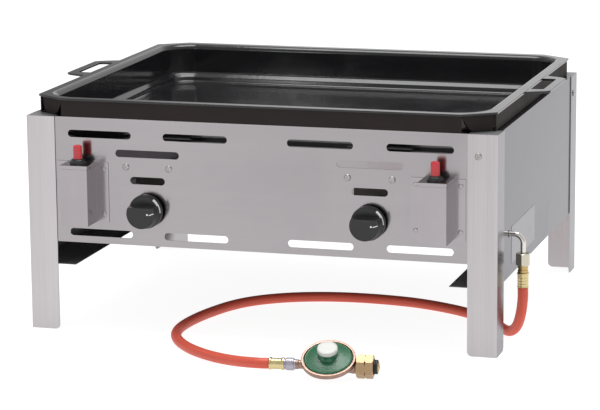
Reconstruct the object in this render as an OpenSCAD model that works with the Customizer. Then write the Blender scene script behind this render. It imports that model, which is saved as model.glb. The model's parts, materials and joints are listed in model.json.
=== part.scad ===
// Two-burner gas roasting stove: a stainless frame on four angle legs, an enamelled pan that
// lifts out, two tube burners on one gas rail, piezo igniters, and a hose with its regulator.
// X runs along the front, Y goes to the back, Z is up and zero is the floor.

/* [Frame] */
// Width over the legs
frame_w = 650; // [640:5:790]
// Depth over the legs
frame_d = 540; // [500:5:660]
// Height of the legs, from the floor to the pan's seat
frame_h = 295; // [285:1:360]
// Width of each flange of an angle leg
leg_flange = 40; // [34:1:42]
// Thickness of the leg sheet
leg_sheet = 1.5; // [1:0.1:2.5]
// Radius of the rounded toe at the foot of a leg flange
toe_r = 6.5; // [2:0.5:10]
// Depth of the seat tab on top of a leg
tab_d = 34; // [30:1:40]
// Thickness of the wall panels
panel_sheet = 1; // [0.8:0.1:2]
// Height of the front panel's lower edge above the floor
front_bottom = 123; // [115:1:135]
// Height of the side and back panels' lower edge above the floor
side_bottom = 91; // [70:1:100]
// Width of the inward flange along the top of a panel
top_flange = 10; // [6:0.5:11]
// Width of the inward flange along the bottom of the front panel
bottom_flange = 8; // [4:0.5:12]
// Width of each black heat shield strip
shield_w = 62.5; // [40:0.5:66]
// Height of a heat shield's upstand along the side panel
shield_h = 40; // [20:1:50]

/* [Slots] */
// Height of the round-ended slots
slot_h = 10; // [6:0.5:12]
// Length of the long slots
slot_len = 90; // [60:1:100]
// Length of the small viewing slot above each knob
small_slot_len = 49; // [30:1:60]
// Distance between the centres of the two slots over one burner
slot_pitch = 135; // [110:1:140]
// Drop of the top slot row below the frame's top
top_row_drop = 22.5; // [18:0.5:26]
// Drop of the second slot row below the frame's top
second_row_drop = 46.8; // [42:0.2:50]
// Height of the viewing slot above the knob's axis
small_slot_rise = 39.5; // [30:0.5:42]
// Height of the bottom slot row above the front panel's lower edge
bottom_row_rise = 14.4; // [12:0.2:18]

/* [Pan] */
// How far the pan's rim stands inside the frame on the left and right
pan_side_inset = 7; // [4:0.5:12]
// Height of the rim above the frame
pan_rise = 25; // [18:0.5:32]
// Thickness of the rim and of the handles
rim_t = 3; // [2:0.5:4]
// Thickness of the pan sheet
pan_sheet = 2; // [1.5:0.1:3]
// Width of the flat rim at the sides
rim_side = 18; // [17:0.5:24]
// Width of the flat rim at the front and back
rim_front = 18; // [17:0.5:24]
// Cut of the rim's corners along X
corner_cut_x = 42; // [34:1:44]
// Cut of the rim's corners along Y
corner_cut_y = 29; // [24:1:32]
// Inner corner radius of the pan's upper wall
pan_corner_r = 40; // [36:1:50]
// Depth of the ledge below the rim
ledge_depth = 48; // [40:1:54]
// Width of the ledge
ledge_w = 12; // [8:1:16]
// Depth of the cooking floor below the rim
pan_depth = 56; // [54:1:72]
// How far the apron stands in from the rim's edge
apron_inset = 2; // [1:0.5:3]
// Length of a handle along the rim, at its root
handle_root = 146; // [120:1:160]
// Length of a handle at its outer edge
handle_len = 114; // [90:1:130]
// How far a handle reaches out from the rim
handle_reach = 32; // [26:1:40]
// Width of the finger hole in a handle
finger_w = 20; // [16:1:22]
// Length of the finger hole
finger_len = 92; // [70:1:100]

/* [Controls] */
// Distance from a knob's axis to its igniter
igniter_offset = 92; // [80:1:100]
// Height of the knobs' axis above the floor
knob_z = 172.5; // [170:0.5:185]
// Diameter of a knob
knob_d = 46; // [36:1:50]
// How far a knob stands out from the front panel
knob_reach = 31; // [26:0.5:36]
// Height of a knob's skirt, without its grip bar
knob_skirt = 10; // [8:0.5:12]
// Width of the grip bar
grip_w = 20; // [14:0.5:24]
// Travel of a knob when it is pushed in
knob_travel = 4; // [2:0.5:5]
// Diameter of the valve spindle
spindle_d = 8; // [6:0.5:8]
// Diameter of the push rod behind the spindle
rod_d = 4; // [3:0.5:5]

/* [Igniters] */
// Width of an igniter box
box_w = 38; // [30:1:40]
// Depth of an igniter box
box_d = 35.5; // [30:0.5:42]
// Height of an igniter box
box_h = 82; // [78:1:90]
// Height of an igniter box's underside above the floor
box_z = 153; // [145:1:160]
// Thickness of the box sheet
box_sheet = 1.2; // [0.8:0.1:2]
// Width of each fixing flange of a box
box_flange = 17.5; // [16:0.5:18]
// Diameter of the red button
button_d = 12; // [9:0.5:14]
// Height of the button above the box
button_rise = 25; // [20:0.5:28]
// Travel of the button when it is pressed
button_travel = 6; // [3:0.5:7]
// Diameter of the black collar nut under the button
collar_d = 22; // [18:0.5:26]
// Height of the collar nut
collar_h = 6; // [4:0.5:8]

/* [Gas train] */
// Side of the square gas rail
rail_side = 16; // [12:0.5:17]
// Wall of the square gas rail
rail_wall = 1.5; // [1:0.1:2]
// Distance from the front panel to the rail's axis
rail_back = 20; // [18:0.5:22]
// Height of the rail and the inlet pipe above the floor
rail_z = 150; // [148:0.5:151]
// Diameter of the gas valve's body
valve_d = 22; // [18:0.5:24]
// Diameter of the burner tubes
burner_d = 30; // [24:0.5:34]
// Wall of the burner tubes
burner_wall = 1; // [0.8:0.1:2]
// Number of flame ports in a row
port_count = 18; // [8:1:24]
// Diameter of the inlet pipe
pipe_d = 7; // [6:0.5:8]
// Distance from the frame's front face to the inlet pipe
pipe_back = 76; // [66:1:90]
// How far the pipe's drop stands out from the frame's side
pipe_out = 18; // [14:0.5:20]
// Radius of the pipe's bend outside the panel
pipe_bend = 12; // [9:0.5:13]

/* [Hose and regulator] */
// Diameter of the gas hose
hose_d = 14; // [12:1:16]
// Diameter of the regulator's housing
regulator_d = 70; // [60:1:70]
// Width across the flats of the cylinder nut
cylinder_nut_af = 27; // [24:0.5:27]
// Length of the cylinder nut
cylinder_nut_len = 22; // [18:0.5:24]

/* [Fits] */
// Radial clearance of a part that turns or slides in a bore
run_gap = 0.05; // [0.02:0.01:0.1]
// Radial clearance of a fixed part in its hole
fit_gap = 0.1; // [0.05:0.01:0.3]
// Gap between a panel's notch and the seat tab
notch_gap = 0.3; // [0.1:0.1:1]

/* [Hidden] */
$fn = 48;
eps = 0.01;

// Frame: outer faces of the legs and panels. The igniter boxes stand out in front, so the
// frame sits half of their reach behind the origin, which is the middle of the whole stove.
y_shift = (box_d - leg_sheet) / 2;
half_w = frame_w / 2;
front_y = y_shift - frame_d / 2;
back_y = y_shift + frame_d / 2;
front_face = front_y + leg_sheet;
front_inner = front_face + panel_sheet;
back_face = back_y - leg_sheet;
back_inner = back_face - panel_sheet;
side_face = half_w - leg_sheet;
side_inner = side_face - panel_sheet;
leg_edge = half_w - leg_flange;
tab_cut = 12;

// Screws and rivets
screw_head_r = 4.5;
screw_head_h = 2;
screw_r = 2;
screw_len = 8;
recess_w = 0.9;
recess_len = 4.4;
rivet_r = 1.6;
rivet_head_r = 3.4;
rivet_head_h = 1.2;
rivet_tail = 1.5;
front_screw_in = 26;
front_screw_drop = 29;
side_screw_in = 24;
side_screw_drop = 27;

// Pan
rim_z = frame_h + pan_rise;
pan_half_w = half_w - pan_side_inset;
pan_half_d = frame_d / 2;
well_w = pan_half_w - rim_side;
well_d = pan_half_d - rim_front;
ledge_z = rim_z - ledge_depth;
floor_z = rim_z - pan_depth;
apron_h = pan_rise - rim_t;

// Controls: the igniter stands just inside the leg, and the knob and burner follow it
box_leg_gap = 2.5;
box_half = box_w / 2 + box_flange;
igniter_x = leg_edge - box_leg_gap - box_half;
igniter_y = front_face - box_d / 2;
burner_x = igniter_x - igniter_offset;
box_top = box_z + box_h;
rivet_in = 6.5;
rivet_low = 12;
rivet_drop = 8.7;
neck_wall = 1;
neck_r = button_d / 2 + run_gap + neck_wall;
neck_over = 1;
button_in = 19;
igniter_r = 8;
igniter_h = 56;
terminal_r = 2;
terminal_h = 4;
wire_hole_r = 3;
wire_d = 2.4;
seam_drop = 5;
seam = 0.4;

// Valve: distances behind the front panel's outer face, along the knob's axis
knob_gap = 5;
spindle_in = 20;
valve_back = 45;
outlet_back = 52;
outlet_r = 6;
injector_back = 57;
nose_back = 63;
nose_r = 3.5;
jet_r = 0.8;
rod_len = 18;
rod_room = knob_travel + 1;
valve_boss_r = 9;
valve_boss_back = 5;
spindle_hole_r = spindle_d / 2 + 1.5;
flat_drop = 1;
nipple_r = 3;
nipple_in = 5;
port_r = 1.5;
probe_port_r = 4;
probe_port_back = 36;

// Burners, brackets and probes
burner_front = 58;
bracket_back = 60;
bracket_sheet = 1.2;
bracket_half = 38;
bracket_screw_x = 30.2;
bracket_screw_z = knob_z + 57.5;
bracket_lip = 9;
bracket_drop = 27;
rear_bracket_depth = 44;
burner_tail = 8;
port_angle = 30;
port_margin = 40;
probe_x = 24;
electrode_d = 6;
tip_d = 2;
electrode_front = 46;
electrode_len = 46;
tip_len = 10;
probe_d = 5;
probe_front = 52;
probe_len = 48;
lead_d = 2;
lead_bend = 7;

// Pipe and rail
rail_over = 20;
rail_tail = 35;
rail_y = front_face + rail_back;
rail_left = -burner_x - rail_over;
rail_right = burner_x + rail_tail;
pipe_y = front_y + pipe_back;
pipe_x = half_w + pipe_out;
pipe_side = (pipe_y - rail_y) / 2;
pipe_in = 8;
pipe_run = 15;
pipe_bore = 1;
pipe_hole_gap = 1.5;
pipe_end_drop = 36;
union_top_drop = 25;
union_len = 16.4;
union_af = 17.5;
fitting_r = 6;
fitting_collar_r = 7;
fitting_end_drop = 51;
ferrule_r = 7.5;
ferrule_end_drop = 71;
hose_top = rail_z - ferrule_end_drop;

// Regulator, along its own gas axis from the end of the hose. It lies tipped towards the
// front on its rim and on the cylinder nut.
regulator_tilt = 26;
ferrule_len = 20;
ferrule_big_r = 8.25;
sleeve_len = 14.5;
sleeve_r = 8.2;
disc_x = 77;
rim_low = 6;
rim_high = 13;
rim_lip = 4;
cover_top = 18;
cover_neck_r = 12.3;
cap_low = 24.5;
cap_high = 30;
cap_r = 13;
passage_r = 9;
outlet_neck_r = 6;
inlet_end = disc_x + regulator_d / 2 + 0.1;
nut_x = inlet_end + 0.6;
nut_shoulder = 11;
nut_thread_r = 11;
nose_stem_r = 7;
nose_collar_r = 10;
nose_collar_x = nut_x + 14;
nose_collar_len = 3;
seal_x = nut_x + cylinder_nut_len + 0.3;
seal_len = 5;
seal_r = 9.3;
nose_tip_r = 5.5;
nose_tip_len = 1.5;

// Route of the hose's centre line: down out of its ferrule, one easy bend onto the floor,
// across under the stove, round in a wide curve and out at the front to the regulator.
hose_route = [
    [343, -177, 79], [343, -177, 63], [340, -174, 42], [333, -164, 23], [322, -149, 11],
    [309, -130, 7], [290, -104, 7], [266, -76, 7], [236, -50, 7], [198, -29, 7],
    [157, -14, 7], [116, -7, 7], [76, -5, 7], [38, -8, 7], [4, -16, 7],
    [-27, -29, 7], [-54, -47, 7], [-76, -70, 7], [-92, -98, 7], [-104, -132, 7],
    [-113, -168, 7], [-118, -204, 7], [-118, -238, 7], [-111, -270, 7], [-96, -300, 7],
    [-74, -328, 7], [-47, -354, 8], [-16, -378, 10], [15, -398, 13], [47, -411, 16],
    [63, -409, 16]
];

// The regulator takes its place and its heading from the end of the hose
hose_end = hose_route[len(hose_route) - 1];
hose_run_out = hose_end - hose_route[len(hose_route) - 2];
regulator_yaw = atan2(hose_run_out[1], hose_run_out[0]);

// ---------------------------------------------------------------- helpers

// Puts the children on the right as drawn, or mirrored on the left
module on_side(side) {
    mirror([side < 0 ? 1 : 0, 0, 0]) children();
}

// Stands a flat outline up as a plate that faces the front: x and z, from y to y + t
module front_plate(y, t) {
    translate([0, y + t, 0]) rotate([90, 0, 0]) linear_extrude(t) children();
}

// Stands a flat outline up as a plate that faces the side: y and z, from x to x + t
module side_plate(x, t) {
    translate([x, 0, 0]) rotate([90, 0, 90]) linear_extrude(t) children();
}

// A box from its low and high corners
module block(low, high) {
    translate(low) cube(high - low);
}

module rounded_rect(half_x, half_y, r) {
    square([2 * half_x, 2 * (half_y - r)], center = true);
    square([2 * (half_x - r), 2 * half_y], center = true);
    for (x = [-1, 1], y = [-1, 1])
        translate([x * (half_x - r), y * (half_y - r)]) circle(r);
}

module slot(x, z, length) {
    run = length / 2 - slot_h / 2;
    translate([x, z]) {
        square([2 * run, slot_h], center = true);
        for (end = [-1, 1])
            translate([end * run, 0]) circle(slot_h / 2);
    }
}

// A row of long slots, two over each burner
module slot_row(z) {
    for (side = [-1, 1], half = [-1, 1])
        slot(side * (burner_x + half * slot_pitch / 2), z, slot_len);
}

// A bar with a round outline from profile points [radius, height], turned about its axis
module turned(points) {
    rotate_extrude() polygon(concat([[0, points[0][1]]], points, [[0, points[len(points) - 1][1]]]));
}

// A ring from profile points [radius, height] that keep off the axis
module turned_ring(points) {
    rotate_extrude() polygon(points);
}

// Moves to a knob's centre on the panel's outer face, with Z pointing out to the front
module at_knob(side) {
    translate([side * burner_x, front_face, knob_z]) rotate([90, 0, 0]) children();
}

// A bar along the knob's axis, between two distances behind the panel's outer face
module behind(from, to, r) {
    translate([0, 0, -to]) cylinder(r = r, h = to - from);
}

// Pan-head screw: its head's underside is at zero and the shank points up
module screw() {
    difference() {
        union() {
            turned([[screw_head_r - 1, -screw_head_h], [screw_head_r, 1 - screw_head_h],
                [screw_head_r, 0]]);
            cylinder(r = screw_r, h = screw_len);
        }
        for (turn = [0, 90])
            rotate([0, 0, turn])
                translate([-recess_len / 2, -recess_w / 2, -screw_head_h - eps])
                    cube([recess_len, recess_w, 1]);
    }
}

module rivet(grip) {
    turned([[rivet_head_r - 1.4, -rivet_head_h], [rivet_head_r - 0.4, 0.4 - rivet_head_h],
        [rivet_head_r, 0], [rivet_r, 0], [rivet_r, grip], [rivet_r + 0.5, grip],
        [rivet_r + 0.5, grip + rivet_tail]]);
}

function unit(v) = v / norm(v);

// Direction of a route at each of its points
function headings(p) = [for (i = [0:len(p) - 1])
    unit(p[min(i + 1, len(p) - 1)] - p[max(i - 1, 0)])];

// Side vectors that follow the route without twisting
function sides(t, i = 0, last = [0, 1, 0]) =
    i == len(t) ? [] : let (s = unit(last - (last * t[i]) * t[i])) concat([s], sides(t, i + 1, s));

// A tube swept along a route, with its ends closed
module tube(route, d, faces) {
    t = headings(route);
    s = sides(t);
    count = len(route);
    points = [for (i = [0:count - 1], k = [0:faces - 1])
        let (a = (k + 0.5) * 360 / faces)
        route[i] + d / 2 * (cos(a) * s[i] + sin(a) * cross(t[i], s[i]))];
    walls = [for (i = [0:count - 2], k = [0:faces - 1])
        [i * faces + k, (i + 1) * faces + k, (i + 1) * faces + (k + 1) % faces,
            i * faces + (k + 1) % faces]];
    start = [for (k = [0:faces - 1]) k];
    end = [for (k = [faces - 1:-1:0]) (count - 1) * faces + k];
    polyhedron(points, concat(walls, [start], [end]));
}

// ---------------------------------------------------------------- frame

// Outline of one leg flange, its free edge at zero, with a rounded toe
module leg_outline() {
    translate([toe_r, 0]) square([leg_flange - toe_r, frame_h]);
    translate([0, toe_r]) square([leg_flange, frame_h - toe_r]);
    translate([toe_r, toe_r]) circle(toe_r);
}

// The front right leg, which the other three mirror. The seat tab on top carries the pan.
module leg(front_screw, side_screw) {
    difference() {
        union() {
            front_plate(front_y, leg_sheet) translate([leg_edge, 0]) leg_outline();
            side_plate(side_face, leg_sheet)
                translate([front_y + leg_flange, 0]) mirror([1, 0]) leg_outline();
            translate([0, 0, frame_h - leg_sheet]) linear_extrude(leg_sheet) polygon([
                [leg_edge, front_y], [half_w, front_y], [half_w, front_y + tab_d],
                [leg_edge + tab_cut, front_y + tab_d],
                [leg_edge, front_y + tab_d - tab_cut]]);
        }
        if (front_screw)
            translate([half_w - front_screw_in, front_y - eps, frame_h - front_screw_drop])
                rotate([-90, 0, 0]) cylinder(r = screw_r + fit_gap, h = leg_sheet + 2 * eps);
        if (side_screw)
            translate([half_w + eps, front_y + side_screw_in, frame_h - side_screw_drop])
                rotate([0, -90, 0]) cylinder(r = screw_r + fit_gap, h = leg_sheet + 2 * eps);
    }
}

// Turns what stands at the front to the back of the frame
module at_rear() {
    translate([0, 2 * y_shift, 0]) mirror([0, 1, 0]) children();
}

module front_left_leg() { color("#C8C6C8") on_side(-1) leg(false, true); }
module front_right_leg() { color("#C8C6C8") leg(true, false); }
module rear_left_leg() { color("#C8C6C8") at_rear() on_side(-1) leg(false, true); }
module rear_right_leg() { color("#C8C6C8") at_rear() leg(false, true); }

module side_leg_screw() {
    translate([half_w, front_y + side_screw_in, frame_h - side_screw_drop])
        rotate([0, -90, 0]) screw();
}

module leg_screws() {
    color("#B4B2B0") {
        translate([half_w - front_screw_in, front_y, frame_h - front_screw_drop])
            rotate([-90, 0, 0]) screw();
        on_side(-1) side_leg_screw();
        at_rear() side_leg_screw();
        at_rear() on_side(-1) side_leg_screw();
    }
}

// Outline of the front or back panel: it tucks behind the legs and under their seat tabs
module wall_outline(bottom) {
    tucked = frame_h - leg_sheet;
    translate([-side_face, bottom]) square([2 * side_face, tucked - bottom]);
    translate([notch_gap - leg_edge, bottom])
        square([2 * (leg_edge - notch_gap), frame_h - bottom]);
}

// Round holes in a flat outline, one at each place
module holes(places, r) {
    for (place = places)
        translate(place) circle(r);
}

// Places of the four rivets of the igniter box on one side
function rivet_places(side) = [for (x = [-1, 1], z = [box_z + rivet_low, box_top - rivet_drop])
    [side * igniter_x + x * (box_half - rivet_in), z]];

module front_panel() {
    color("#AFACAE") {
        front_plate(front_face, panel_sheet) difference() {
            wall_outline(front_bottom);
            slot_row(frame_h - top_row_drop);
            slot_row(front_bottom + bottom_row_rise);
            for (side = [-1, 1]) {
                slot(side * burner_x, frame_h - second_row_drop, slot_len);
                slot(side * burner_x, knob_z + small_slot_rise, small_slot_len);
                holes([[side * burner_x, knob_z]], spindle_hole_r);
                holes([[side * igniter_x, box_z + rivet_low]], wire_hole_r);
                holes(rivet_places(side), rivet_r + fit_gap);
                holes([for (x = [-1, 1]) [side * burner_x + x * bracket_screw_x,
                    bracket_screw_z]], screw_r + fit_gap);
            }
            holes([[half_w - front_screw_in, frame_h - front_screw_drop]], screw_r + fit_gap);
        }
        block([notch_gap - leg_edge, front_face, frame_h - panel_sheet],
            [leg_edge - notch_gap, front_face + top_flange, frame_h]);
        block([notch_gap - leg_edge, front_face, front_bottom],
            [leg_edge - notch_gap, front_face + bottom_flange, front_bottom + panel_sheet]);
    }
}

module back_panel() {
    color("#AFACAE") {
        front_plate(back_inner, panel_sheet) difference() {
            wall_outline(side_bottom);
            slot_row(frame_h - top_row_drop);
            for (side = [-1, 1])
                slot(side * burner_x, frame_h - second_row_drop, slot_len);
        }
        block([notch_gap - leg_edge, back_face - top_flange, frame_h - panel_sheet],
            [leg_edge - notch_gap, back_face, frame_h]);
    }
}

// A side panel, drawn on the right, between the front and back panels
module side_panel(pipe_hole) {
    near = front_y + tab_d + notch_gap;
    far = back_y - tab_d - notch_gap;
    side_plate(side_inner, panel_sheet) difference() {
        union() {
            translate([front_inner, side_bottom])
                square([back_inner - front_inner, frame_h - leg_sheet - side_bottom]);
            translate([near, side_bottom]) square([far - near, frame_h - side_bottom]);
        }
        holes([[back_y - side_screw_in, frame_h - side_screw_drop]], screw_r + fit_gap);
        if (pipe_hole)
            holes([[pipe_y, rail_z]], pipe_d / 2 + pipe_hole_gap);
        else
            holes([[front_y + side_screw_in, frame_h - side_screw_drop]], screw_r + fit_gap);
    }
    block([side_face - top_flange, near, frame_h - panel_sheet], [side_face, far, frame_h]);
}

module left_side_panel() { color("#9D9BA0") on_side(-1) side_panel(false); }
module right_side_panel() { color("#9D9BA0") side_panel(true); }

// An angle of black sheet under each side: it shades the legs from the burner
module heat_shield() {
    block([side_inner - shield_w, front_inner, side_bottom],
        [side_inner, back_inner, side_bottom + panel_sheet]);
    block([side_inner - panel_sheet, front_inner, side_bottom],
        [side_inner, back_inner, side_bottom + shield_h]);
}

module left_heat_shield() { color("#232325") on_side(-1) heat_shield(); }
module right_heat_shield() { color("#232325") heat_shield(); }

// ---------------------------------------------------------------- pan

// A slanted wall under one cut corner of the rim, narrowing to the leg's seat tab
module corner_wall() {
    length = norm([corner_cut_x, corner_cut_y]);
    angle = atan2(corner_cut_y, corner_cut_x);
    inset = apron_inset + pan_sheet;
    translate([pan_half_w - corner_cut_x, -pan_half_d, frame_h]) rotate([0, 0, angle])
        translate([0, inset, 0]) rotate([90, 0, 0]) linear_extrude(pan_sheet) polygon([
            [0.3 * length, 0], [0.85 * length, 0], [length - 1, apron_h], [1, apron_h]]);
}

module pan() {
    color("#242426") translate([0, y_shift, 0]) {
        translate([0, 0, rim_z - rim_t]) linear_extrude(rim_t) difference() {
            polygon([for (q = [[1, -1], [1, 1], [-1, 1], [-1, -1]], k = [0, 1])
                let (first = (k == 0) == (q[0] * q[1] < 0))
                [q[0] * (pan_half_w - (first ? corner_cut_x : 0)),
                    q[1] * (pan_half_d - (first ? 0 : corner_cut_y))]]);
            rounded_rect(well_w, well_d, pan_corner_r);
        }
        // Upper wall, ledge, lower wall and floor of the well
        translate([0, 0, ledge_z - pan_sheet]) linear_extrude(ledge_depth + pan_sheet) difference() {
            rounded_rect(well_w + pan_sheet, well_d + pan_sheet, pan_corner_r + pan_sheet);
            rounded_rect(well_w, well_d, pan_corner_r);
        }
        translate([0, 0, ledge_z - pan_sheet]) linear_extrude(pan_sheet) difference() {
            rounded_rect(well_w + pan_sheet, well_d + pan_sheet, pan_corner_r + pan_sheet);
            rounded_rect(well_w - ledge_w, well_d - ledge_w, pan_corner_r - ledge_w);
        }
        translate([0, 0, floor_z - pan_sheet]) linear_extrude(ledge_z - floor_z + pan_sheet)
            difference() {
                rounded_rect(well_w - ledge_w + pan_sheet, well_d - ledge_w + pan_sheet,
                    pan_corner_r - ledge_w + pan_sheet);
                rounded_rect(well_w - ledge_w, well_d - ledge_w, pan_corner_r - ledge_w);
            }
        translate([0, 0, floor_z - pan_sheet]) linear_extrude(pan_sheet)
            rounded_rect(well_w - ledge_w + eps, well_d - ledge_w + eps, pan_corner_r - ledge_w);
        // Apron, which stands on the frame
        for (y = [-1, 1])
            translate([0, y * (pan_half_d - apron_inset - pan_sheet / 2), frame_h + apron_h / 2])
                cube([2 * (pan_half_w - corner_cut_x), pan_sheet, apron_h], center = true);
        for (x = [-1, 1])
            translate([x * (pan_half_w - apron_inset - pan_sheet / 2), 0, frame_h + apron_h / 2])
                cube([pan_sheet, 2 * (pan_half_d - corner_cut_y), apron_h], center = true);
        for (x = [0, 1], y = [0, 1])
            mirror([x, 0, 0]) mirror([0, y, 0]) corner_wall();
    }
}

// A flat strap welded to the rim's edge, with a finger hole
module pan_handle() {
    outer = pan_half_w + handle_reach;
    finger = pan_half_w + finger_w;
    finger_r = 5;
    translate([0, y_shift, rim_z - rim_t]) linear_extrude(rim_t) difference() {
        polygon([[pan_half_w, -handle_root / 2], [outer - 6, -handle_len / 2 - 4],
            [outer, -handle_len / 2 + 3], [outer, handle_len / 2 - 3],
            [outer - 6, handle_len / 2 + 4], [pan_half_w, handle_root / 2]]);
        translate([pan_half_w - 1, -finger_len / 2])
            square([finger - finger_r - pan_half_w + 1, finger_len]);
        translate([pan_half_w - 1, finger_r - finger_len / 2])
            square([finger - pan_half_w + 1, finger_len - 2 * finger_r]);
        for (y = [-1, 1])
            translate([finger - finger_r, y * (finger_len / 2 - finger_r)]) circle(finger_r);
    }
}

module left_pan_handle() { color("#2A2A2C") on_side(-1) pan_handle(); }
module right_pan_handle() { color("#2A2A2C") pan_handle(); }

// ---------------------------------------------------------------- gas train

// Solid run of the inlet pipe: out of the rail, a double bend, through the panel and down
module pipe_run_solid(r) {
    start = rail_right + pipe_run;
    s = pipe_side;
    turn_x = pipe_x - pipe_bend;
    translate([rail_right - pipe_in, rail_y, rail_z]) rotate([0, 90, 0])
        cylinder(r = r, h = pipe_in + pipe_run);
    translate([start, rail_y + s, rail_z]) rotate([0, 0, -90])
        rotate_extrude(angle = 90) translate([s, 0]) circle(r);
    translate([start + 2 * s, rail_y + s, rail_z]) rotate([0, 0, 90])
        rotate_extrude(angle = 90) translate([s, 0]) circle(r);
    translate([start + 2 * s, pipe_y, rail_z]) rotate([0, 90, 0])
        cylinder(r = r, h = turn_x - start - 2 * s);
    translate([turn_x, pipe_y, rail_z - pipe_bend]) rotate([90, 0, 0])
        rotate_extrude(angle = 90) translate([pipe_bend, 0]) circle(r);
    translate([pipe_x, pipe_y, rail_z - pipe_end_drop])
        cylinder(r = r, h = pipe_end_drop - pipe_bend);
}

module inlet_pipe() {
    color("#B9B6AE") difference() {
        pipe_run_solid(pipe_d / 2);
        pipe_run_solid(pipe_d / 2 - pipe_bore);
        // opens both ends
        translate([pipe_x, pipe_y, rail_z - pipe_end_drop - 1])
            cylinder(r = pipe_d / 2 - pipe_bore, h = 2);
        translate([rail_right - pipe_in - 1, rail_y, rail_z]) rotate([0, 90, 0])
            cylinder(r = pipe_d / 2 - pipe_bore, h = 2);
    }
}

// Square rail with a hole under each valve and a hole for the inlet pipe in its right end
module gas_rail() {
    h = rail_side / 2;
    w = h - rail_wall;
    color("#A8A49C") difference() {
        block([rail_left, rail_y - h, rail_z - h], [rail_right, rail_y + h, rail_z + h]);
        block([rail_left + rail_wall, rail_y - w, rail_z - w],
            [rail_right - rail_wall, rail_y + w, rail_z + w]);
        for (side = [-1, 1])
            translate([side * burner_x, rail_y, rail_z]) cylinder(r = nipple_r + fit_gap, h = h + 1);
        translate([rail_right - rail_wall - 1, rail_y, rail_z]) rotate([0, 90, 0])
            cylinder(r = pipe_d / 2 + fit_gap, h = rail_wall + 2);
    }
}

// Tap with a flame safety device: the spindle turns the plug and pushes the rod behind it
module gas_valve(side) {
    drop = knob_z - rail_z - rail_side / 2;
    color("#B59A55") at_knob(side) difference() {
        union() {
            behind(valve_boss_back, valve_back, valve_d / 2);
            behind(panel_sheet, valve_boss_back, valve_boss_r);
            behind(valve_back, outlet_back, outlet_r);
            translate([0, -drop, -rail_back]) rotate([-90, 0, 0])
                cylinder(r = outlet_r, h = drop - valve_d / 2 + 2);
            translate([0, -drop - nipple_in, -rail_back]) rotate([-90, 0, 0])
                cylinder(r = nipple_r, h = nipple_in + 1);
            translate([0, 0, -probe_port_back]) rotate([0, -side * 90, 0])
                cylinder(r = probe_port_r, h = valve_d / 2 + probe_port_r);
        }
        behind(panel_sheet - 1, spindle_in + knob_travel + 0.5, spindle_d / 2 + run_gap);
        behind(spindle_in, spindle_in + rod_len + rod_room, rod_d / 2 + run_gap);
        translate([0, -drop - nipple_in - 1, -rail_back]) rotate([-90, 0, 0])
            cylinder(r = port_r, h = drop + nipple_in + 1);
        behind(outlet_back - 6, outlet_back + 1, port_r);
    }
}

module left_gas_valve() { gas_valve(-1); }
module right_gas_valve() { gas_valve(1); }

module injector(side) {
    color("#C2A04E") at_knob(side) difference() {
        union() {
            translate([0, 0, -injector_back])
                cylinder(r = outlet_r, h = injector_back - outlet_back, $fn = 6);
            behind(injector_back, nose_back, nose_r);
        }
        behind(outlet_back - 1, nose_back + 1, jet_r);
    }
}

module left_injector() { injector(-1); }
module right_injector() { injector(1); }

// Straight tube burner, open at its mouth in front, closed behind, with two rows of ports
module burner(side) {
    r = burner_d / 2;
    y0 = front_face + burner_front;
    y1 = back_inner - rear_bracket_depth + burner_tail;
    step = (y1 - y0 - 2 * port_margin) / (port_count - 1);
    color("#8F8A84") translate([side * burner_x, 0, knob_z]) difference() {
        translate([0, y1, 0]) rotate([90, 0, 0]) cylinder(r = r, h = y1 - y0);
        translate([0, y1 - burner_wall, 0]) rotate([90, 0, 0])
            cylinder(r = r - burner_wall, h = y1 - y0);
        for (i = [0:port_count - 1], lean = [-port_angle, port_angle])
            translate([0, y0 + port_margin + i * step, 0]) rotate([0, lean, 0])
                cylinder(r = port_r, h = r + 1);
    }
}

module left_burner() { burner(-1); }
module right_burner() { burner(1); }

// A bracket that hangs a burner's end from the wall: wall lip, shelf, and a holed plate.
// It is drawn behind the front panel's inner face, at y = 0, and reaches back to depth.
module burner_bracket(depth, probes) {
    t = bracket_sheet;
    shelf = bracket_screw_z - bracket_lip;
    difference() {
        union() {
            block([-bracket_half, 0, shelf], [bracket_half, t, bracket_screw_z + bracket_lip]);
            block([-bracket_half, 0, shelf], [bracket_half, depth, shelf + t]);
            block([-bracket_half, depth - t, knob_z - bracket_drop],
                [bracket_half, depth, shelf + t]);
        }
        translate([0, depth + 1, knob_z]) rotate([90, 0, 0])
            cylinder(r = burner_d / 2 + fit_gap, h = t + 2);
        if (probes) {
            translate([probe_x, depth + 1, knob_z]) rotate([90, 0, 0])
                cylinder(r = electrode_d / 2 + fit_gap, h = t + 2);
            translate([-probe_x, depth + 1, knob_z]) rotate([90, 0, 0])
                cylinder(r = probe_d / 2 + fit_gap, h = t + 2);
            for (x = [-1, 1])
                translate([x * bracket_screw_x, t + 1, bracket_screw_z]) rotate([90, 0, 0])
                    cylinder(r = screw_r + fit_gap, h = t + 2);
        }
    }
}

module front_bracket() {
    color("#8E8C8C") translate([burner_x, front_inner, 0])
        burner_bracket(bracket_back - panel_sheet, true);
}

module rear_bracket() {
    color("#8E8C8C") translate([burner_x, back_inner, 0]) mirror([0, 1, 0])
        burner_bracket(rear_bracket_depth, false);
}

module left_front_bracket() { on_side(-1) front_bracket(); }
module right_front_bracket() { front_bracket(); }
module left_rear_bracket() { on_side(-1) rear_bracket(); }
module right_rear_bracket() { rear_bracket(); }

module bracket_screws() {
    color("#B4B2B0") for (side = [-1, 1], x = [-1, 1])
        translate([side * burner_x + x * bracket_screw_x, front_face, bracket_screw_z])
            rotate([-90, 0, 0]) screw();
}

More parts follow.
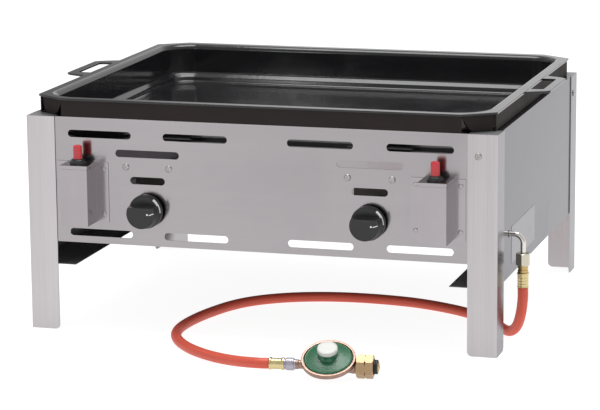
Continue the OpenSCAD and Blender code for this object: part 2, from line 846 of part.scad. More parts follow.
// Ceramic ignition electrode in the bracket's plate, with its metal tip over the ports
module electrode(side) {
    color("#E6E2D8") at_knob(side) translate([side * probe_x, 0, 0]) {
        behind(electrode_front, electrode_front + electrode_len, electrode_d / 2);
        behind(electrode_front + electrode_len, electrode_front + electrode_len + tip_len,
            tip_d / 2);
    }
}

module left_electrode() { electrode(-1); }
module right_electrode() { electrode(1); }

// Route of an ignition lead: down from the igniter, back through the panel, to the electrode
function wire_route(side) = let (
    x0 = side * igniter_x,
    x1 = side * (burner_x + probe_x),
    y1 = front_face + electrode_front,
    z0 = box_top - box_sheet - igniter_h - terminal_h,
    z1 = box_z + rivet_low)
    [[x0, igniter_y, z0], [x0, igniter_y, z1 + 3], [x0, igniter_y + 5, z1],
        [x0, front_face, z1], [x0, front_face + 8, z1 + 1], [x0 - side * 6, front_face + 14, z1 + 3],
        [x0 - side * 22, front_face + 18, z1 + 7], [(x0 + x1) / 2, front_face + 21, knob_z],
        [x1 + side * 9, front_face + 25, knob_z], [x1, front_face + 34, knob_z],
        [x1, y1, knob_z]];

module left_ignition_wire() { color("#3A3A3C") tube(wire_route(-1), wire_d, 8); }
module right_ignition_wire() { color("#3A3A3C") tube(wire_route(1), wire_d, 8); }

// Flame sensor: a probe beside the burner and a thin lead that turns in to the valve
module thermocouple(side) {
    turn = probe_port_back + lead_bend;
    color("#A86F4B") at_knob(side) {
        translate([-side * probe_x, 0, 0]) {
            behind(probe_front, probe_front + probe_len, probe_d / 2);
            behind(turn, probe_front, lead_d / 2);
        }
        translate([-side * (probe_x - lead_bend), 0, -turn]) rotate([90, 0, 0])
            rotate([0, 0, side > 0 ? 90 : 0]) rotate_extrude(angle = 90)
                translate([lead_bend, 0]) circle(lead_d / 2);
        translate([-side * (valve_d / 2 + probe_port_r), 0, -probe_port_back])
            rotate([0, -side * 90, 0])
                cylinder(r = lead_d / 2, h = probe_x - lead_bend - valve_d / 2 - probe_port_r);
    }
}

module left_thermocouple() { thermocouple(-1); }
module right_thermocouple() { thermocouple(1); }

// ---------------------------------------------------------------- igniters

// Folded sheet box on the front panel, with a seam under its lid and two fixing flanges
module igniter_box(side) {
    t = box_sheet;
    w = box_w / 2;
    y0 = front_face - box_d;
    color("#B3B0B2") difference() {
        translate([side * igniter_x, 0, 0]) difference() {
            union() {
                block([-w, y0, box_z], [w, front_face, box_top]);
                block([-box_half, front_face - t, box_z], [box_half, front_face, box_top]);
            }
            block([t - w, y0 + t, box_z + t], [w - t, front_face + 1, box_top - t]);
            translate([0, igniter_y, box_top - t - 1]) cylinder(r = neck_r + fit_gap, h = t + 2);
            // seam groove round the front and sides
            difference() {
                block([-w - 1, y0 - 1, box_top - seam_drop],
                    [w + 1, front_face - t, box_top - seam_drop + seam]);
                block([seam - w, y0 + seam, box_top - seam_drop - 1],
                    [w - seam, front_face, box_top - seam_drop + 1]);
            }
        }
        front_plate(front_face - t - 1, t + 2) holes(rivet_places(side), rivet_r + fit_gap);
    }
}

module left_igniter_box() { igniter_box(-1); }
module right_igniter_box() { igniter_box(1); }

// Piezo igniter: its neck passes up through the box's lid and guides the button
module igniter_body(side) {
    lid = box_top - box_sheet;
    neck_top = box_top + collar_h + neck_over;
    bore = box_top - button_in - button_travel - 1;
    color("#2C2C2E") translate([side * igniter_x, igniter_y, 0]) difference() {
        union() {
            translate([0, 0, lid - igniter_h]) cylinder(r = igniter_r, h = igniter_h);
            translate([0, 0, lid - 1]) cylinder(r = neck_r, h = neck_top - lid + 1);
            translate([0, 0, lid - igniter_h - terminal_h])
                cylinder(r = terminal_r, h = terminal_h + 1);
        }
        translate([0, 0, bore]) cylinder(r = button_d / 2 + run_gap, h = neck_top - bore + 1);
    }
}

module left_igniter_body() { igniter_body(-1); }
module right_igniter_body() { igniter_body(1); }

module igniter_nut(side) {
    r = collar_d / 2;
    color("#1E1E20") translate([side * igniter_x, igniter_y, box_top]) turned_ring([
        [neck_r + fit_gap, 0], [r, 0], [r, collar_h - 1.2], [r - 1.2, collar_h],
        [neck_r + fit_gap, collar_h]]);
}

module left_igniter_nut() { igniter_nut(-1); }
module right_igniter_nut() { igniter_nut(1); }

module igniter_button(side) {
    r = button_d / 2;
    top = box_top + button_rise;
    low = box_top - button_in;
    color("#CD4650") translate([side * igniter_x, igniter_y, 0]) turned([
        [r, low], [r, top - 1.5], [r - 0.5, top - 0.5], [r - 1.5, top]]);
}

module left_igniter_button() { igniter_button(-1); }
module right_igniter_button() { igniter_button(1); }

module igniter_rivets() {
    color("#B4B2B0") for (side = [-1, 1], place = rivet_places(side))
        translate([place[0], front_face - box_sheet, place[1]]) rotate([-90, 0, 0])
            rivet(box_sheet + panel_sheet);
}

// ---------------------------------------------------------------- knobs

// D-shaped outline of the spindle's front end
module spindle_outline(gap) {
    r = spindle_d / 2 + gap;
    difference() {
        circle(r);
        translate([-r - 1, spindle_d / 2 - flat_drop + gap]) square([2 * r + 2, r + 1]);
    }
}

module knob(side) {
    r = knob_d / 2;
    bore = knob_reach - knob_gap - 13;
    color("#2B2B2D") at_knob(side) difference() {
        union() {
            translate([0, 0, knob_gap]) turned([[r - 0.5, 0], [r, 0.5],
                [r, knob_skirt - 1.5], [r - 1.5, knob_skirt]]);
            intersection() {
                translate([-r, -grip_w / 2, knob_gap + knob_skirt - 1])
                    cube([2 * r, grip_w, knob_reach - knob_gap - knob_skirt + 1]);
                translate([0, 0, knob_gap]) cylinder(r = r - 1.5, h = knob_reach);
            }
        }
        translate([0, 0, knob_gap - 1]) linear_extrude(bore + 1) spindle_outline(run_gap);
    }
}

module left_knob() { knob(-1); }
module right_knob() { knob(1); }

module valve_spindle(side) {
    reach = knob_reach - 13.5;
    color("#B8B4A8") at_knob(side) {
        behind(1, spindle_in, spindle_d / 2);
        translate([0, 0, -1]) linear_extrude(reach + 1) spindle_outline(0);
    }
}

module left_valve_spindle() { valve_spindle(-1); }
module right_valve_spindle() { valve_spindle(1); }

module push_rod(side) {
    color("#C2A04E") at_knob(side) behind(spindle_in, spindle_in + rod_len, rod_d / 2);
}

module left_push_rod() { push_rod(-1); }
module right_push_rod() { push_rod(1); }

// ---------------------------------------------------------------- hose end at the stove

// Moves to the pipe's drop, with heights measured from the rail's axis
module at_drop() {
    translate([pipe_x, pipe_y, rail_z]) children();
}

module inlet_union_nut() {
    top = -union_top_drop;
    r = union_af / sqrt(3);
    color("#C4BFB0") at_drop() difference() {
        translate([0, 0, top - union_len]) cylinder(r = r, h = union_len, $fn = 6);
        translate([0, 0, top - union_len - 1])
            cylinder(r = pipe_d / 2 + fit_gap, h = union_len + 2);
        translate([0, 0, top - union_len - 1])
            cylinder(r = fitting_r + fit_gap, h = union_len + 1 - (pipe_end_drop - union_top_drop));
    }
}

module inlet_hose_fitting() {
    color("#C2A04E") at_drop() difference() {
        union() {
            translate([0, 0, -fitting_end_drop])
                cylinder(r = fitting_r, h = fitting_end_drop - pipe_end_drop);
            translate([0, 0, -fitting_end_drop])
                cylinder(r = fitting_collar_r, h = fitting_end_drop - union_top_drop - union_len);
        }
        translate([0, 0, -fitting_end_drop - 1])
            cylinder(r = pipe_d / 2 - pipe_bore, h = fitting_end_drop - pipe_end_drop + 2);
    }
}

module inlet_hose_ferrule() {
    r = ferrule_r;
    low = -ferrule_end_drop;
    high = -fitting_end_drop;
    color("#C9B46A") at_drop() turned([
        [r - 0.8, low], [r, low + 0.8], [r, low + 5], [r - 0.7, low + 6], [r, low + 7],
        [r, low + 11], [r - 0.7, low + 12], [r, low + 13], [r, high - 1], [r - 1, high]]);
}

module gas_hose() {
    color("#C84B3C") tube(hose_route, hose_d, 12);
}

// ---------------------------------------------------------------- regulator

// Moves to the end of the hose, with X along the gas axis and Z out of the housing's face
module at_regulator() {
    translate(hose_end) rotate([regulator_tilt, 0, regulator_yaw]) children();
}

// A turned piece along the gas axis, from profile points [radius, distance]
module along_gas(points) {
    at_regulator() rotate([0, 90, 0]) turned(points);
}

module regulator_hose_ferrule() {
    r = ferrule_big_r;
    color("#C9B46A") along_gas([
        [r - 0.8, 0], [r, 0.8], [r, 5], [r - 0.8, 6], [r, 7], [r, 11], [r - 0.8, 12], [r, 13],
        [r, ferrule_len - 0.6], [r - 0.6, ferrule_len]]);
}

module regulator_hose_sleeve() {
    r = sleeve_r;
    end = ferrule_len + sleeve_len;
    color("#ABA79F") along_gas([
        [r - 1.2, ferrule_len], [r - 1.2, ferrule_len + 1.5], [r, ferrule_len + 2.5],
        [r, end - 1], [r - 1, end]]);
}

// Zinc lower housing with the gas passage across it
module regulator_body() {
    r = regulator_d / 2;
    start = ferrule_len + sleeve_len;
    color("#AF968A") at_regulator() difference() {
        union() {
            translate([disc_x, 0, 0]) turned([[12, -7], [22, -4], [r - 4, rim_low],
                [r - 0.6, rim_low], [r, rim_low + 0.6], [r, rim_high - 0.6],
                [r - 0.6, rim_high]]);
            translate([start, 0, 0]) rotate([0, 90, 0])
                cylinder(r = outlet_neck_r, h = disc_x - start);
            translate([disc_x - r + 6, 0, 0]) rotate([0, 90, 0])
                cylinder(r = passage_r, h = inlet_end - disc_x + r - 6);
        }
        translate([disc_x, 0, rim_high - rim_lip])
            cylinder(r = r - rim_lip + fit_gap, h = rim_lip + 1);
    }
}

module regulator_cover() {
    r = regulator_d / 2 - rim_lip;
    color("#32734B") at_regulator() translate([disc_x, 0, 0]) turned([
        [r, rim_high - rim_lip], [r, rim_high - 0.5], [r - 1, rim_high + 0.5],
        [cover_neck_r + 8, cover_top - 2], [cover_neck_r + 1.5, cover_top],
        [cover_neck_r, cover_top + 0.6], [cover_neck_r, cap_low]]);
}

module regulator_cap() {
    color("#E8E6E0") at_regulator() translate([disc_x, 0, 0]) turned([
        [cap_r - 0.6, cap_low], [cap_r, cap_low + 0.6], [cap_r, cap_high - 1],
        [cap_r - 1, cap_high]]);
}

// Hexagon nut that turns freely on the nose and screws onto the gas cylinder
module cylinder_nut() {
    r = cylinder_nut_af / sqrt(3);
    color("#967D5A") at_regulator() translate([nut_x, 0, 0]) rotate([0, 90, 0]) difference() {
        cylinder(r = r, h = cylinder_nut_len, $fn = 6);
        translate([0, 0, -1]) cylinder(r = nose_stem_r + run_gap, h = cylinder_nut_len + 2);
        translate([0, 0, nut_shoulder]) cylinder(r = nut_thread_r, h = cylinder_nut_len);
    }
}

module cylinder_nose() {
    collar = nose_collar_x;
    tip = seal_x + seal_len;
    color("#C2A04E") along_gas([
        [nose_stem_r, inlet_end], [nose_stem_r, collar], [nose_collar_r, collar],
        [nose_collar_r, collar + nose_collar_len], [nose_stem_r, collar + nose_collar_len],
        [nose_stem_r, tip], [nose_tip_r, tip + nose_tip_len]]);
}

module cylinder_seal() {
    r = seal_r;
    color("#1C1C1E") at_regulator() rotate([0, 90, 0]) turned_ring([
        [nose_stem_r + run_gap, seal_x], [r, seal_x], [r, seal_x + seal_len],
        [nose_stem_r + run_gap, seal_x + seal_len]]);
}

// ---------------------------------------------------------------- drawing

front_panel();
back_panel();
left_side_panel();
right_side_panel();
left_heat_shield();
right_heat_shield();
front_left_leg();
front_right_leg();
rear_left_leg();
rear_right_leg();
leg_screws();
pan();
left_pan_handle();
right_pan_handle();
inlet_pipe();
gas_rail();
left_gas_valve();
right_gas_valve();
left_injector();
right_injector();
left_burner();
right_burner();
left_front_bracket();
right_front_bracket();
left_rear_bracket();
right_rear_bracket();
bracket_screws();
left_electrode();
right_electrode();
left_ignition_wire();
right_ignition_wire();
left_thermocouple();
right_thermocouple();
left_igniter_box();
right_igniter_box();
left_igniter_body();
right_igniter_body();
left_igniter_nut();
right_igniter_nut();
left_igniter_button();
right_igniter_button();
igniter_rivets();
left_knob();
right_knob();
left_valve_spindle();
right_valve_spindle();
left_push_rod();
right_push_rod();
inlet_union_nut();
inlet_hose_fitting();
inlet_hose_ferrule();
gas_hose();
regulator_hose_ferrule();
regulator_hose_sleeve();
regulator_body();
regulator_cover();
regulator_cap();
cylinder_nut();
cylinder_nose();
cylinder_seal();
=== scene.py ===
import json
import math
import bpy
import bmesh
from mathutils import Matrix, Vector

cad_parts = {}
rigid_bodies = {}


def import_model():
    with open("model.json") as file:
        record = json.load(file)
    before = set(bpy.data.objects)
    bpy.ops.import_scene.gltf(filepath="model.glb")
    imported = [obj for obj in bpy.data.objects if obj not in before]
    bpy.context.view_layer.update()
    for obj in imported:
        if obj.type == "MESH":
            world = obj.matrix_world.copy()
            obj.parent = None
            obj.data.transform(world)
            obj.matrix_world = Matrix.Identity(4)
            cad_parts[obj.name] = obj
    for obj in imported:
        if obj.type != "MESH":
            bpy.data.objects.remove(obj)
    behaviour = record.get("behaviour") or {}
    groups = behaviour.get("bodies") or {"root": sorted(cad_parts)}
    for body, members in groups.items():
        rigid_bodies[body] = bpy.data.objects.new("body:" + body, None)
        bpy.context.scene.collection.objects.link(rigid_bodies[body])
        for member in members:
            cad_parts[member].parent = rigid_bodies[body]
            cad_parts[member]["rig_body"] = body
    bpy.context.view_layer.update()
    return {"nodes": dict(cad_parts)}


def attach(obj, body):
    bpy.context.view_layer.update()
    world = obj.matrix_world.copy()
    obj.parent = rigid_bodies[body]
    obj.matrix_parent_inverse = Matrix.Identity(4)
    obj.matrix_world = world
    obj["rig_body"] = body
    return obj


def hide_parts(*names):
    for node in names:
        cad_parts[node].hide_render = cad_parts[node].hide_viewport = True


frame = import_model()

# %% [markdown]
# # A gas roasting stove
# This notebook dresses a finished CAD model of a two-burner roasting stove. The CAD model
# fixes every size and every moving part. Here each visible piece gets its real edges, bends
# and finish: brushed stainless sheet, glossy black enamel, orange rubber hose, brass, zinc and
# moulded plastic.

MM = 0.001

# %% [markdown]
# ## The camera
# The stove is seen from far away with a long lens, a little above the rim and turned to the
# right. A long lens keeps the box's edges almost parallel. The camera is placed by its own
# three directions, so that its roll can be set as well.

# %% Camera
YAW, PITCH, ROLL = 16.63, 11.68, -0.51
CAMERA_AT, LENS = (1.0347, -3.5192, 0.8952), 158.6


def aim_camera():
    yaw, pitch, roll = (math.radians(a) for a in (YAW, PITCH, ROLL))
    ahead = Vector((-math.sin(yaw) * math.cos(pitch), math.cos(yaw) * math.cos(pitch),
                    -math.sin(pitch)))
    right = ahead.cross(Vector((0, 0, 1))).normalized()
    up = right.cross(ahead)
    right, up = (right * math.cos(roll) + up * math.sin(roll),
                 up * math.cos(roll) - right * math.sin(roll))
    data = bpy.data.cameras.new("studio_camera")
    data.lens = LENS
    data.sensor_width = 36
    data.clip_end = 60
    camera = bpy.data.objects.new("studio_camera", data)
    bpy.context.collection.objects.link(camera)
    turn = Matrix((right, up, -ahead)).transposed()
    camera.matrix_world = Matrix.Translation(CAMERA_AT) @ turn.to_4x4()
    bpy.context.scene.camera = camera


aim_camera()

# %% [markdown]
# ## Node helpers
# A material is a small graph. These helpers add a node, set its sockets by name and wire an
# output straight into an input, which keeps each material below to a few readable lines.

# %% Node helpers
def wire(tree, value, socket):
    """Joins an output to a socket, or sets the socket to a plain value."""
    if isinstance(value, bpy.types.NodeSocket):
        tree.links.new(value, socket)
    elif isinstance(value, bpy.types.Node):
        tree.links.new(value.outputs[0], socket)
    else:
        socket.default_value = value


def add(tree, kind, **values):
    """Adds a node, with its settings in lower case and its sockets as Socket_Name."""
    node = tree.nodes.new(kind)
    for key, value in values.items():
        if key[0].islower():
            setattr(node, key, value)
        else:
            wire(tree, value, node.inputs[key.replace("_", " ")])
    return node


def rgb(r, g, b):
    """A colour given as it is seen on a screen, from 0 to 255, as the linear value."""
    return tuple(((c / 255) / 12.92 if c < 11 else ((c / 255 + 0.055) / 1.055) ** 2.4)
                 for c in (r, g, b)) + (1.0,)


def blend(tree, mask, low, high):
    """A mix of two colours by a mask."""
    node = add(tree, "ShaderNodeMix", data_type="RGBA")
    wire(tree, mask, node.inputs["Factor"])
    wire(tree, low, node.inputs[6])
    wire(tree, high, node.inputs[7])
    return node.outputs[2]


def between(tree, value, low, high, to_low=0.0, to_high=1.0):
    """Maps a value's range to another one and clamps it."""
    return add(tree, "ShaderNodeMapRange", Value=value, From_Min=low, From_Max=high,
               To_Min=to_low, To_Max=to_high).outputs[0]


def sums(tree, operation, a, b=0.0):
    """One math node on two values."""
    node = add(tree, "ShaderNodeMath", operation=operation)
    wire(tree, a, node.inputs[0])
    wire(tree, b, node.inputs[1])
    return node.outputs[0]


def new_group(name, inputs, outputs):
    """An empty shader group with named sockets."""
    group = bpy.data.node_groups.new(name, "ShaderNodeTree")
    for label, kind, value in inputs:
        socket = group.interface.new_socket(name=label, in_out="INPUT", socket_type=kind)
        if value is not None:
            socket.default_value = value
    for label, kind in outputs:
        group.interface.new_socket(name=label, in_out="OUTPUT", socket_type=kind)
    return group, group.nodes.new("NodeGroupInput"), group.nodes.new("NodeGroupOutput")


def place_group(tree, group, **values):
    """Places a group in a material, with its own values."""
    node = tree.nodes.new("ShaderNodeGroup")
    node.node_tree = group
    for key, value in values.items():
        wire(tree, value, node.inputs[key.replace("_", " ")])
    return node


FLOAT, VECTOR = "NodeSocketFloat", "NodeSocketVector"

# %% [markdown]
# ## Effects that several finishes share
# Brushed sheet has long fine scratches in one direction. A noise pattern that is stretched
# along the grain gives them, and the same lines drive shade, roughness and bump. Handling
# leaves soft smudges, which show mostly as a change in gloss. Enamel and plastic have a slight
# orange peel, and dust settles where faces look up.

# %% Brushed grain group
def make_brushed_grain():
    group, given, out = new_group("brushed_grain", [
        ("Place", VECTOR, None), ("Across", VECTOR, (0.02, 1.0, 1.0)), ("Fine", FLOAT, 700.0),
        ("Depth", FLOAT, 0.08)], [("Shade", FLOAT), ("Gloss", FLOAT), ("Normal", VECTOR)])
    stretched = add(group, "ShaderNodeVectorMath", operation="MULTIPLY")
    wire(group, given.outputs["Place"], stretched.inputs[0])
    wire(group, given.outputs["Across"], stretched.inputs[1])
    lines = add(group, "ShaderNodeTexNoise", Vector=stretched, Scale=given.outputs["Fine"],
                Detail=4.0, Roughness=0.65)
    bands = add(group, "ShaderNodeTexNoise", Vector=stretched, Scale=60.0, Detail=2.0)
    mixed = sums(group, "ADD", sums(group, "MULTIPLY", lines.outputs[0], 0.65),
                 sums(group, "MULTIPLY", bands.outputs[0], 0.35))
    bump = add(group, "ShaderNodeBump", Strength=given.outputs["Depth"], Distance=0.0002,
               Height=mixed)
    wire(group, between(group, mixed, 0.3, 0.7), out.inputs["Shade"])
    wire(group, between(group, lines.outputs[0], 0.3, 0.7, -0.5, 0.5), out.inputs["Gloss"])
    wire(group, bump, out.inputs["Normal"])
    return group


BRUSHED = make_brushed_grain()

# %% Smudge, peel, edge wear and dust groups
def make_smudges():
    group, given, out = new_group("smudges", [("Place", VECTOR, None), ("Size", FLOAT, 9.0)],
                                  [("Mask", FLOAT), ("Cloud", FLOAT)])
    cloud = add(group, "ShaderNodeTexNoise", Vector=given.outputs["Place"],
                Scale=given.outputs["Size"], Detail=5.0, Roughness=0.6, Distortion=0.4)
    wire(group, between(group, cloud.outputs[0], 0.48, 0.68), out.inputs["Mask"])
    wire(group, cloud.outputs[0], out.inputs["Cloud"])
    return group


def make_peel():
    group, given, out = new_group("orange_peel", [
        ("Place", VECTOR, None), ("Size", FLOAT, 260.0), ("Depth", FLOAT, 0.1)],
        [("Normal", VECTOR)])
    waves = add(group, "ShaderNodeTexNoise", Vector=given.outputs["Place"],
                Scale=given.outputs["Size"], Detail=1.0)
    bump = add(group, "ShaderNodeBump", Strength=given.outputs["Depth"], Distance=0.001,
               Height=waves.outputs[0])
    wire(group, bump, out.inputs["Normal"])
    return group


def make_dust():
    group, given, out = new_group("dust", [
        ("Place", VECTOR, None), ("Facing", VECTOR, None), ("Amount", FLOAT, 0.3)],
        [("Mask", FLOAT)])
    up = add(group, "ShaderNodeSeparateXYZ", Vector=given.outputs["Facing"])
    flat = between(group, up.outputs[2], 0.55, 1.0)
    specks = add(group, "ShaderNodeTexNoise", Vector=given.outputs["Place"], Scale=700.0,
                 Detail=3.0)
    drift = add(group, "ShaderNodeTexNoise", Vector=given.outputs["Place"], Scale=14.0,
                Detail=3.0)
    fine = sums(group, "MULTIPLY", between(group, specks.outputs[0], 0.5, 0.75),
                between(group, drift.outputs[0], 0.4, 0.7))
    wire(group, sums(group, "MULTIPLY", sums(group, "MULTIPLY", fine, flat),
                     given.outputs["Amount"]), out.inputs["Mask"])
    return group


def make_edge_wear():
    """Finds convex edges by comparing the real normal with one rounded over a small radius."""
    group, given, out = new_group("edge_wear", [
        ("Place", VECTOR, None), ("Facing", VECTOR, None), ("Rounded", VECTOR, None)],
        [("Mask", FLOAT)])
    dot = add(group, "ShaderNodeVectorMath", operation="DOT_PRODUCT")
    wire(group, given.outputs["Facing"], dot.inputs[0])
    wire(group, given.outputs["Rounded"], dot.inputs[1])
    edge = between(group, dot.outputs["Value"], 0.995, 0.86)
    rub = add(group, "ShaderNodeTexNoise", Vector=given.outputs["Place"], Scale=160.0,
              Detail=4.0)
    wire(group, sums(group, "MULTIPLY", edge, between(group, rub.outputs[0], 0.4, 0.6)),
         out.inputs["Mask"])
    return group


SMUDGES = make_smudges()
PEEL = make_peel()
DUST = make_dust()
EDGES = make_edge_wear()
print("groups:", [g.name for g in bpy.data.node_groups])

# %% [markdown]
# ## The finishes
# Each finish is one material. Values that stay the same all over are set on the shader
# itself, and only what changes over the surface is wired in.

# %% Start a material
def start(name, metallic=0.0, **shader):
    """A material with its graph, its shader and the object's own coordinates."""
    material = bpy.data.materials.new(name)
    material.use_nodes = True
    tree = material.node_tree
    bsdf = tree.nodes["Principled BSDF"]
    bsdf.inputs["Metallic"].default_value = metallic
    for key, value in shader.items():
        bsdf.inputs[key.replace("_", " ")].default_value = value
    place = add(tree, "ShaderNodeTexCoord").outputs["Object"]
    return material, tree, bsdf, place


# %% [markdown]
# ### Brushed stainless
# The panels are cut from long sheet, so their grain lies level, while each leg is folded from
# a strip with its grain upright. Light spreads across the grain, so the reflections of the
# knobs and buttons stretch up and down on the panels. Anisotropy gives that stretch. The side
# faces are seen at a shallow angle, where metal turns bright. Their steel is a copy with a much
# darker base colour and a grey grazing tint: painted shade that keeps them darker than the front.

# %% Stainless finishes
def stainless(name, light, dark, roughness, across, tint, turn=0.25, depth=0.045,
              grazing=(1, 1, 1, 1)):
    """Brushed sheet. Across is small along the grain and 1 across it, and grazing is the
    tint at a shallow angle."""
    material, tree, bsdf, place = start(name, metallic=1.0, Anisotropic=0.65,
                                        Anisotropic_Rotation=turn,
                                        Specular_Tint=grazing)
    grain = place_group(tree, BRUSHED, Place=place, Across=across, Depth=depth)
    smudge = place_group(tree, SMUDGES, Place=place, Size=7.0)
    colour = blend(tree, grain.outputs["Shade"], dark, light)
    soft = sums(tree, "MULTIPLY", smudge.outputs["Mask"], 0.35)
    wire(tree, blend(tree, soft, colour, tint), bsdf.inputs["Base Color"])
    rough = sums(tree, "ADD", sums(tree, "MULTIPLY", grain.outputs["Gloss"], 0.05), roughness)
    wire(tree, sums(tree, "ADD", rough, sums(tree, "MULTIPLY", smudge.outputs["Mask"], 0.05)),
         bsdf.inputs["Roughness"])
    wire(tree, grain.outputs["Normal"], bsdf.inputs["Normal"])
    return material


LEVEL, UPRIGHT = (0.015, 0.015, 1.0), (1.0, 1.0, 0.012)
STEEL = {
    "stainless_panel": stainless("stainless_panel_brushed", rgb(163, 159, 161),
                                 rgb(158, 154, 156), 0.15, LEVEL, rgb(156, 150, 153)),
    "stainless_leg": stainless("stainless_leg_brushed", rgb(198, 194, 196),
                               rgb(182, 178, 180), 0.30, UPRIGHT, rgb(190, 183, 186)),
    # painted shade: the side panels take a darker copy of the panel steel
    "stainless_side": stainless("stainless_side_brushed", rgb(101, 99, 104),
                                rgb(97, 95, 100), 0.17, LEVEL, rgb(95, 93, 99),
                                depth=0.02, grazing=(0.78, 0.78, 0.79, 1)),
    # painted shade: the legs' side faces take a darker copy of the leg steel
    "leg_flank_painted_shade": stainless("stainless_leg_side_brushed", rgb(134, 132, 135),
                          rgb(127, 125, 128), 0.22, UPRIGHT, rgb(128, 126, 129),
                          grazing=(0.83, 0.83, 0.84, 1)),
    "stainless_box": stainless("stainless_box_brushed", rgb(166, 161, 164),
                               rgb(160, 155, 158), 0.15, UPRIGHT, rgb(158, 152, 155)),
}

# %% [markdown]
# ### Enamel, paint and plastic
# Vitreous enamel is glass melted onto the steel: black, very glossy, with a faint ripple.
# The heat shields take a dull dark grey, a painted reflection of the dark pan above them. Knobs,
# collar nuts and buttons are moulded, with a finer skin and a softer gloss.

# %% Coated and moulded finishes
def coated(name, light, dark, roughness, peel=260.0, depth=0.06, dust=0.12, wear=None,
           spread=0.08, **shader):
    """A glossy or satin coat, or moulded plastic, with smudges, ripple, dust and worn edges."""
    material, tree, bsdf, place = start(name, **shader)
    facing = add(tree, "ShaderNodeNewGeometry").outputs["Normal"]
    smudge = place_group(tree, SMUDGES, Place=place, Size=16.0)
    colour = blend(tree, smudge.outputs["Cloud"], dark, light)
    if wear:
        rounded = add(tree, "ShaderNodeBevel", samples=4, Radius=0.0012)
        edge = place_group(tree, EDGES, Place=place, Facing=facing, Rounded=rounded.outputs[0])
        colour = blend(tree, edge.outputs["Mask"], colour, wear)
    fallen = place_group(tree, DUST, Place=place, Facing=facing, Amount=dust)
    wire(tree, blend(tree, fallen.outputs["Mask"], colour, rgb(150, 146, 140)),
         bsdf.inputs["Base Color"])
    wire(tree, sums(tree, "ADD", roughness,
                    sums(tree, "MULTIPLY", smudge.outputs["Mask"], spread)),
         bsdf.inputs["Roughness"])
    ripple = place_group(tree, PEEL, Place=place, Size=peel, Depth=depth)
    wire(tree, ripple.outputs["Normal"], bsdf.inputs["Normal"])
    return material


ENAMEL = coated("black_enamel_gloss", rgb(30, 30, 32), rgb(20, 20, 22), 0.1)
# painted reflection: the skirt is the pan's black enamel, here a lighter, brownish copy with
# almost no gloss, whose colour stands in for the reflections on it
APRON = coated("apron_painted_reflection", rgb(54, 49, 48), rgb(44, 40, 39), 0.55, peel=420.0,
               depth=0.1, Specular_IOR_Level=0.03)
COAT = {
    # painted reflection: a flat dull grey in place of the dark pan that the heat shields and seat
    # tabs mirror
    "black_sheet": coated("heat_shield_painted_reflection", rgb(106, 106, 107), rgb(90, 90, 91), 0.42,
                          peel=600.0, depth=0.12),
    "knob_plastic": coated("knob_black_plastic", rgb(26, 26, 28), rgb(20, 20, 22), 0.34,
                           peel=1200.0, depth=0.06, wear=rgb(60, 60, 62)),
    "black_rubber": coated("black_seal_rubber", rgb(34, 33, 33), rgb(24, 23, 23), 0.5,
                           peel=900.0, depth=0.15),
    "igniter_plastic": coated("igniter_black_plastic", rgb(30, 30, 31), rgb(22, 22, 23), 0.25,
                              peel=1200.0, depth=0.06, wear=rgb(64, 64, 66)),
    "red_plastic": coated("button_red_plastic", rgb(204, 58, 66), rgb(184, 46, 54), 0.3,
                          peel=900.0, depth=0.05, dust=0.1, wear=rgb(226, 110, 118)),
    "green_cover": coated("regulator_green_paint", rgb(40, 103, 70), rgb(30, 86, 57), 0.3,
                          peel=420.0, depth=0.25, wear=rgb(96, 140, 114)),
    "white_plastic": coated("cap_white_plastic", rgb(206, 206, 202), rgb(192, 192, 188), 0.35,
                            peel=900.0, depth=0.05, dust=0.06),
    "ceramic": coated("electrode_ceramic", rgb(226, 222, 212), rgb(208, 202, 190), 0.4,
                      peel=900.0, depth=0.08, dust=0.2),
    "mark_paint": coated("knob_mark_paint", rgb(236, 236, 234), rgb(220, 220, 218), 0.5,
                         peel=1500.0, depth=0.1, dust=0.0),
    "plate_foil": coated("rating_plate_foil", rgb(128, 127, 131), rgb(118, 117, 121), 0.3,
                         peel=900.0, depth=0.1, dust=0.0, Metallic=1.0),
}

# %% [markdown]
# ### Bare and plated metal
# Screws and the inlet pipe are plated and bright. The nuts and fittings are brass, the
# ferrules are yellow zinc and the regulator housing is raw zinc casting. All are cloudy in
# colour, worn lighter on their edges, and rougher where they have been handled.

# %% Metal finishes
def bare_metal(name, light, dark, roughness, wear, size=60.0, peel=900.0, depth=0.06,
               spread=0.16):
    """Cast, plated or turned metal."""
    material, tree, bsdf, place = start(name, metallic=1.0)
    facing = add(tree, "ShaderNodeNewGeometry").outputs["Normal"]
    smudge = place_group(tree, SMUDGES, Place=place, Size=size)
    colour = blend(tree, smudge.outputs["Cloud"], dark, light)
    rounded = add(tree, "ShaderNodeBevel", samples=4, Radius=0.0008)
    edge = place_group(tree, EDGES, Place=place, Facing=facing, Rounded=rounded.outputs[0])
    wire(tree, blend(tree, edge.outputs["Mask"], colour, wear), bsdf.inputs["Base Color"])
    wire(tree, sums(tree, "ADD", roughness,
                    sums(tree, "MULTIPLY", smudge.outputs["Mask"], spread)),
         bsdf.inputs["Roughness"])
    ripple = place_group(tree, PEEL, Place=place, Size=peel, Depth=depth)
    wire(tree, ripple.outputs["Normal"], bsdf.inputs["Normal"])
    return material


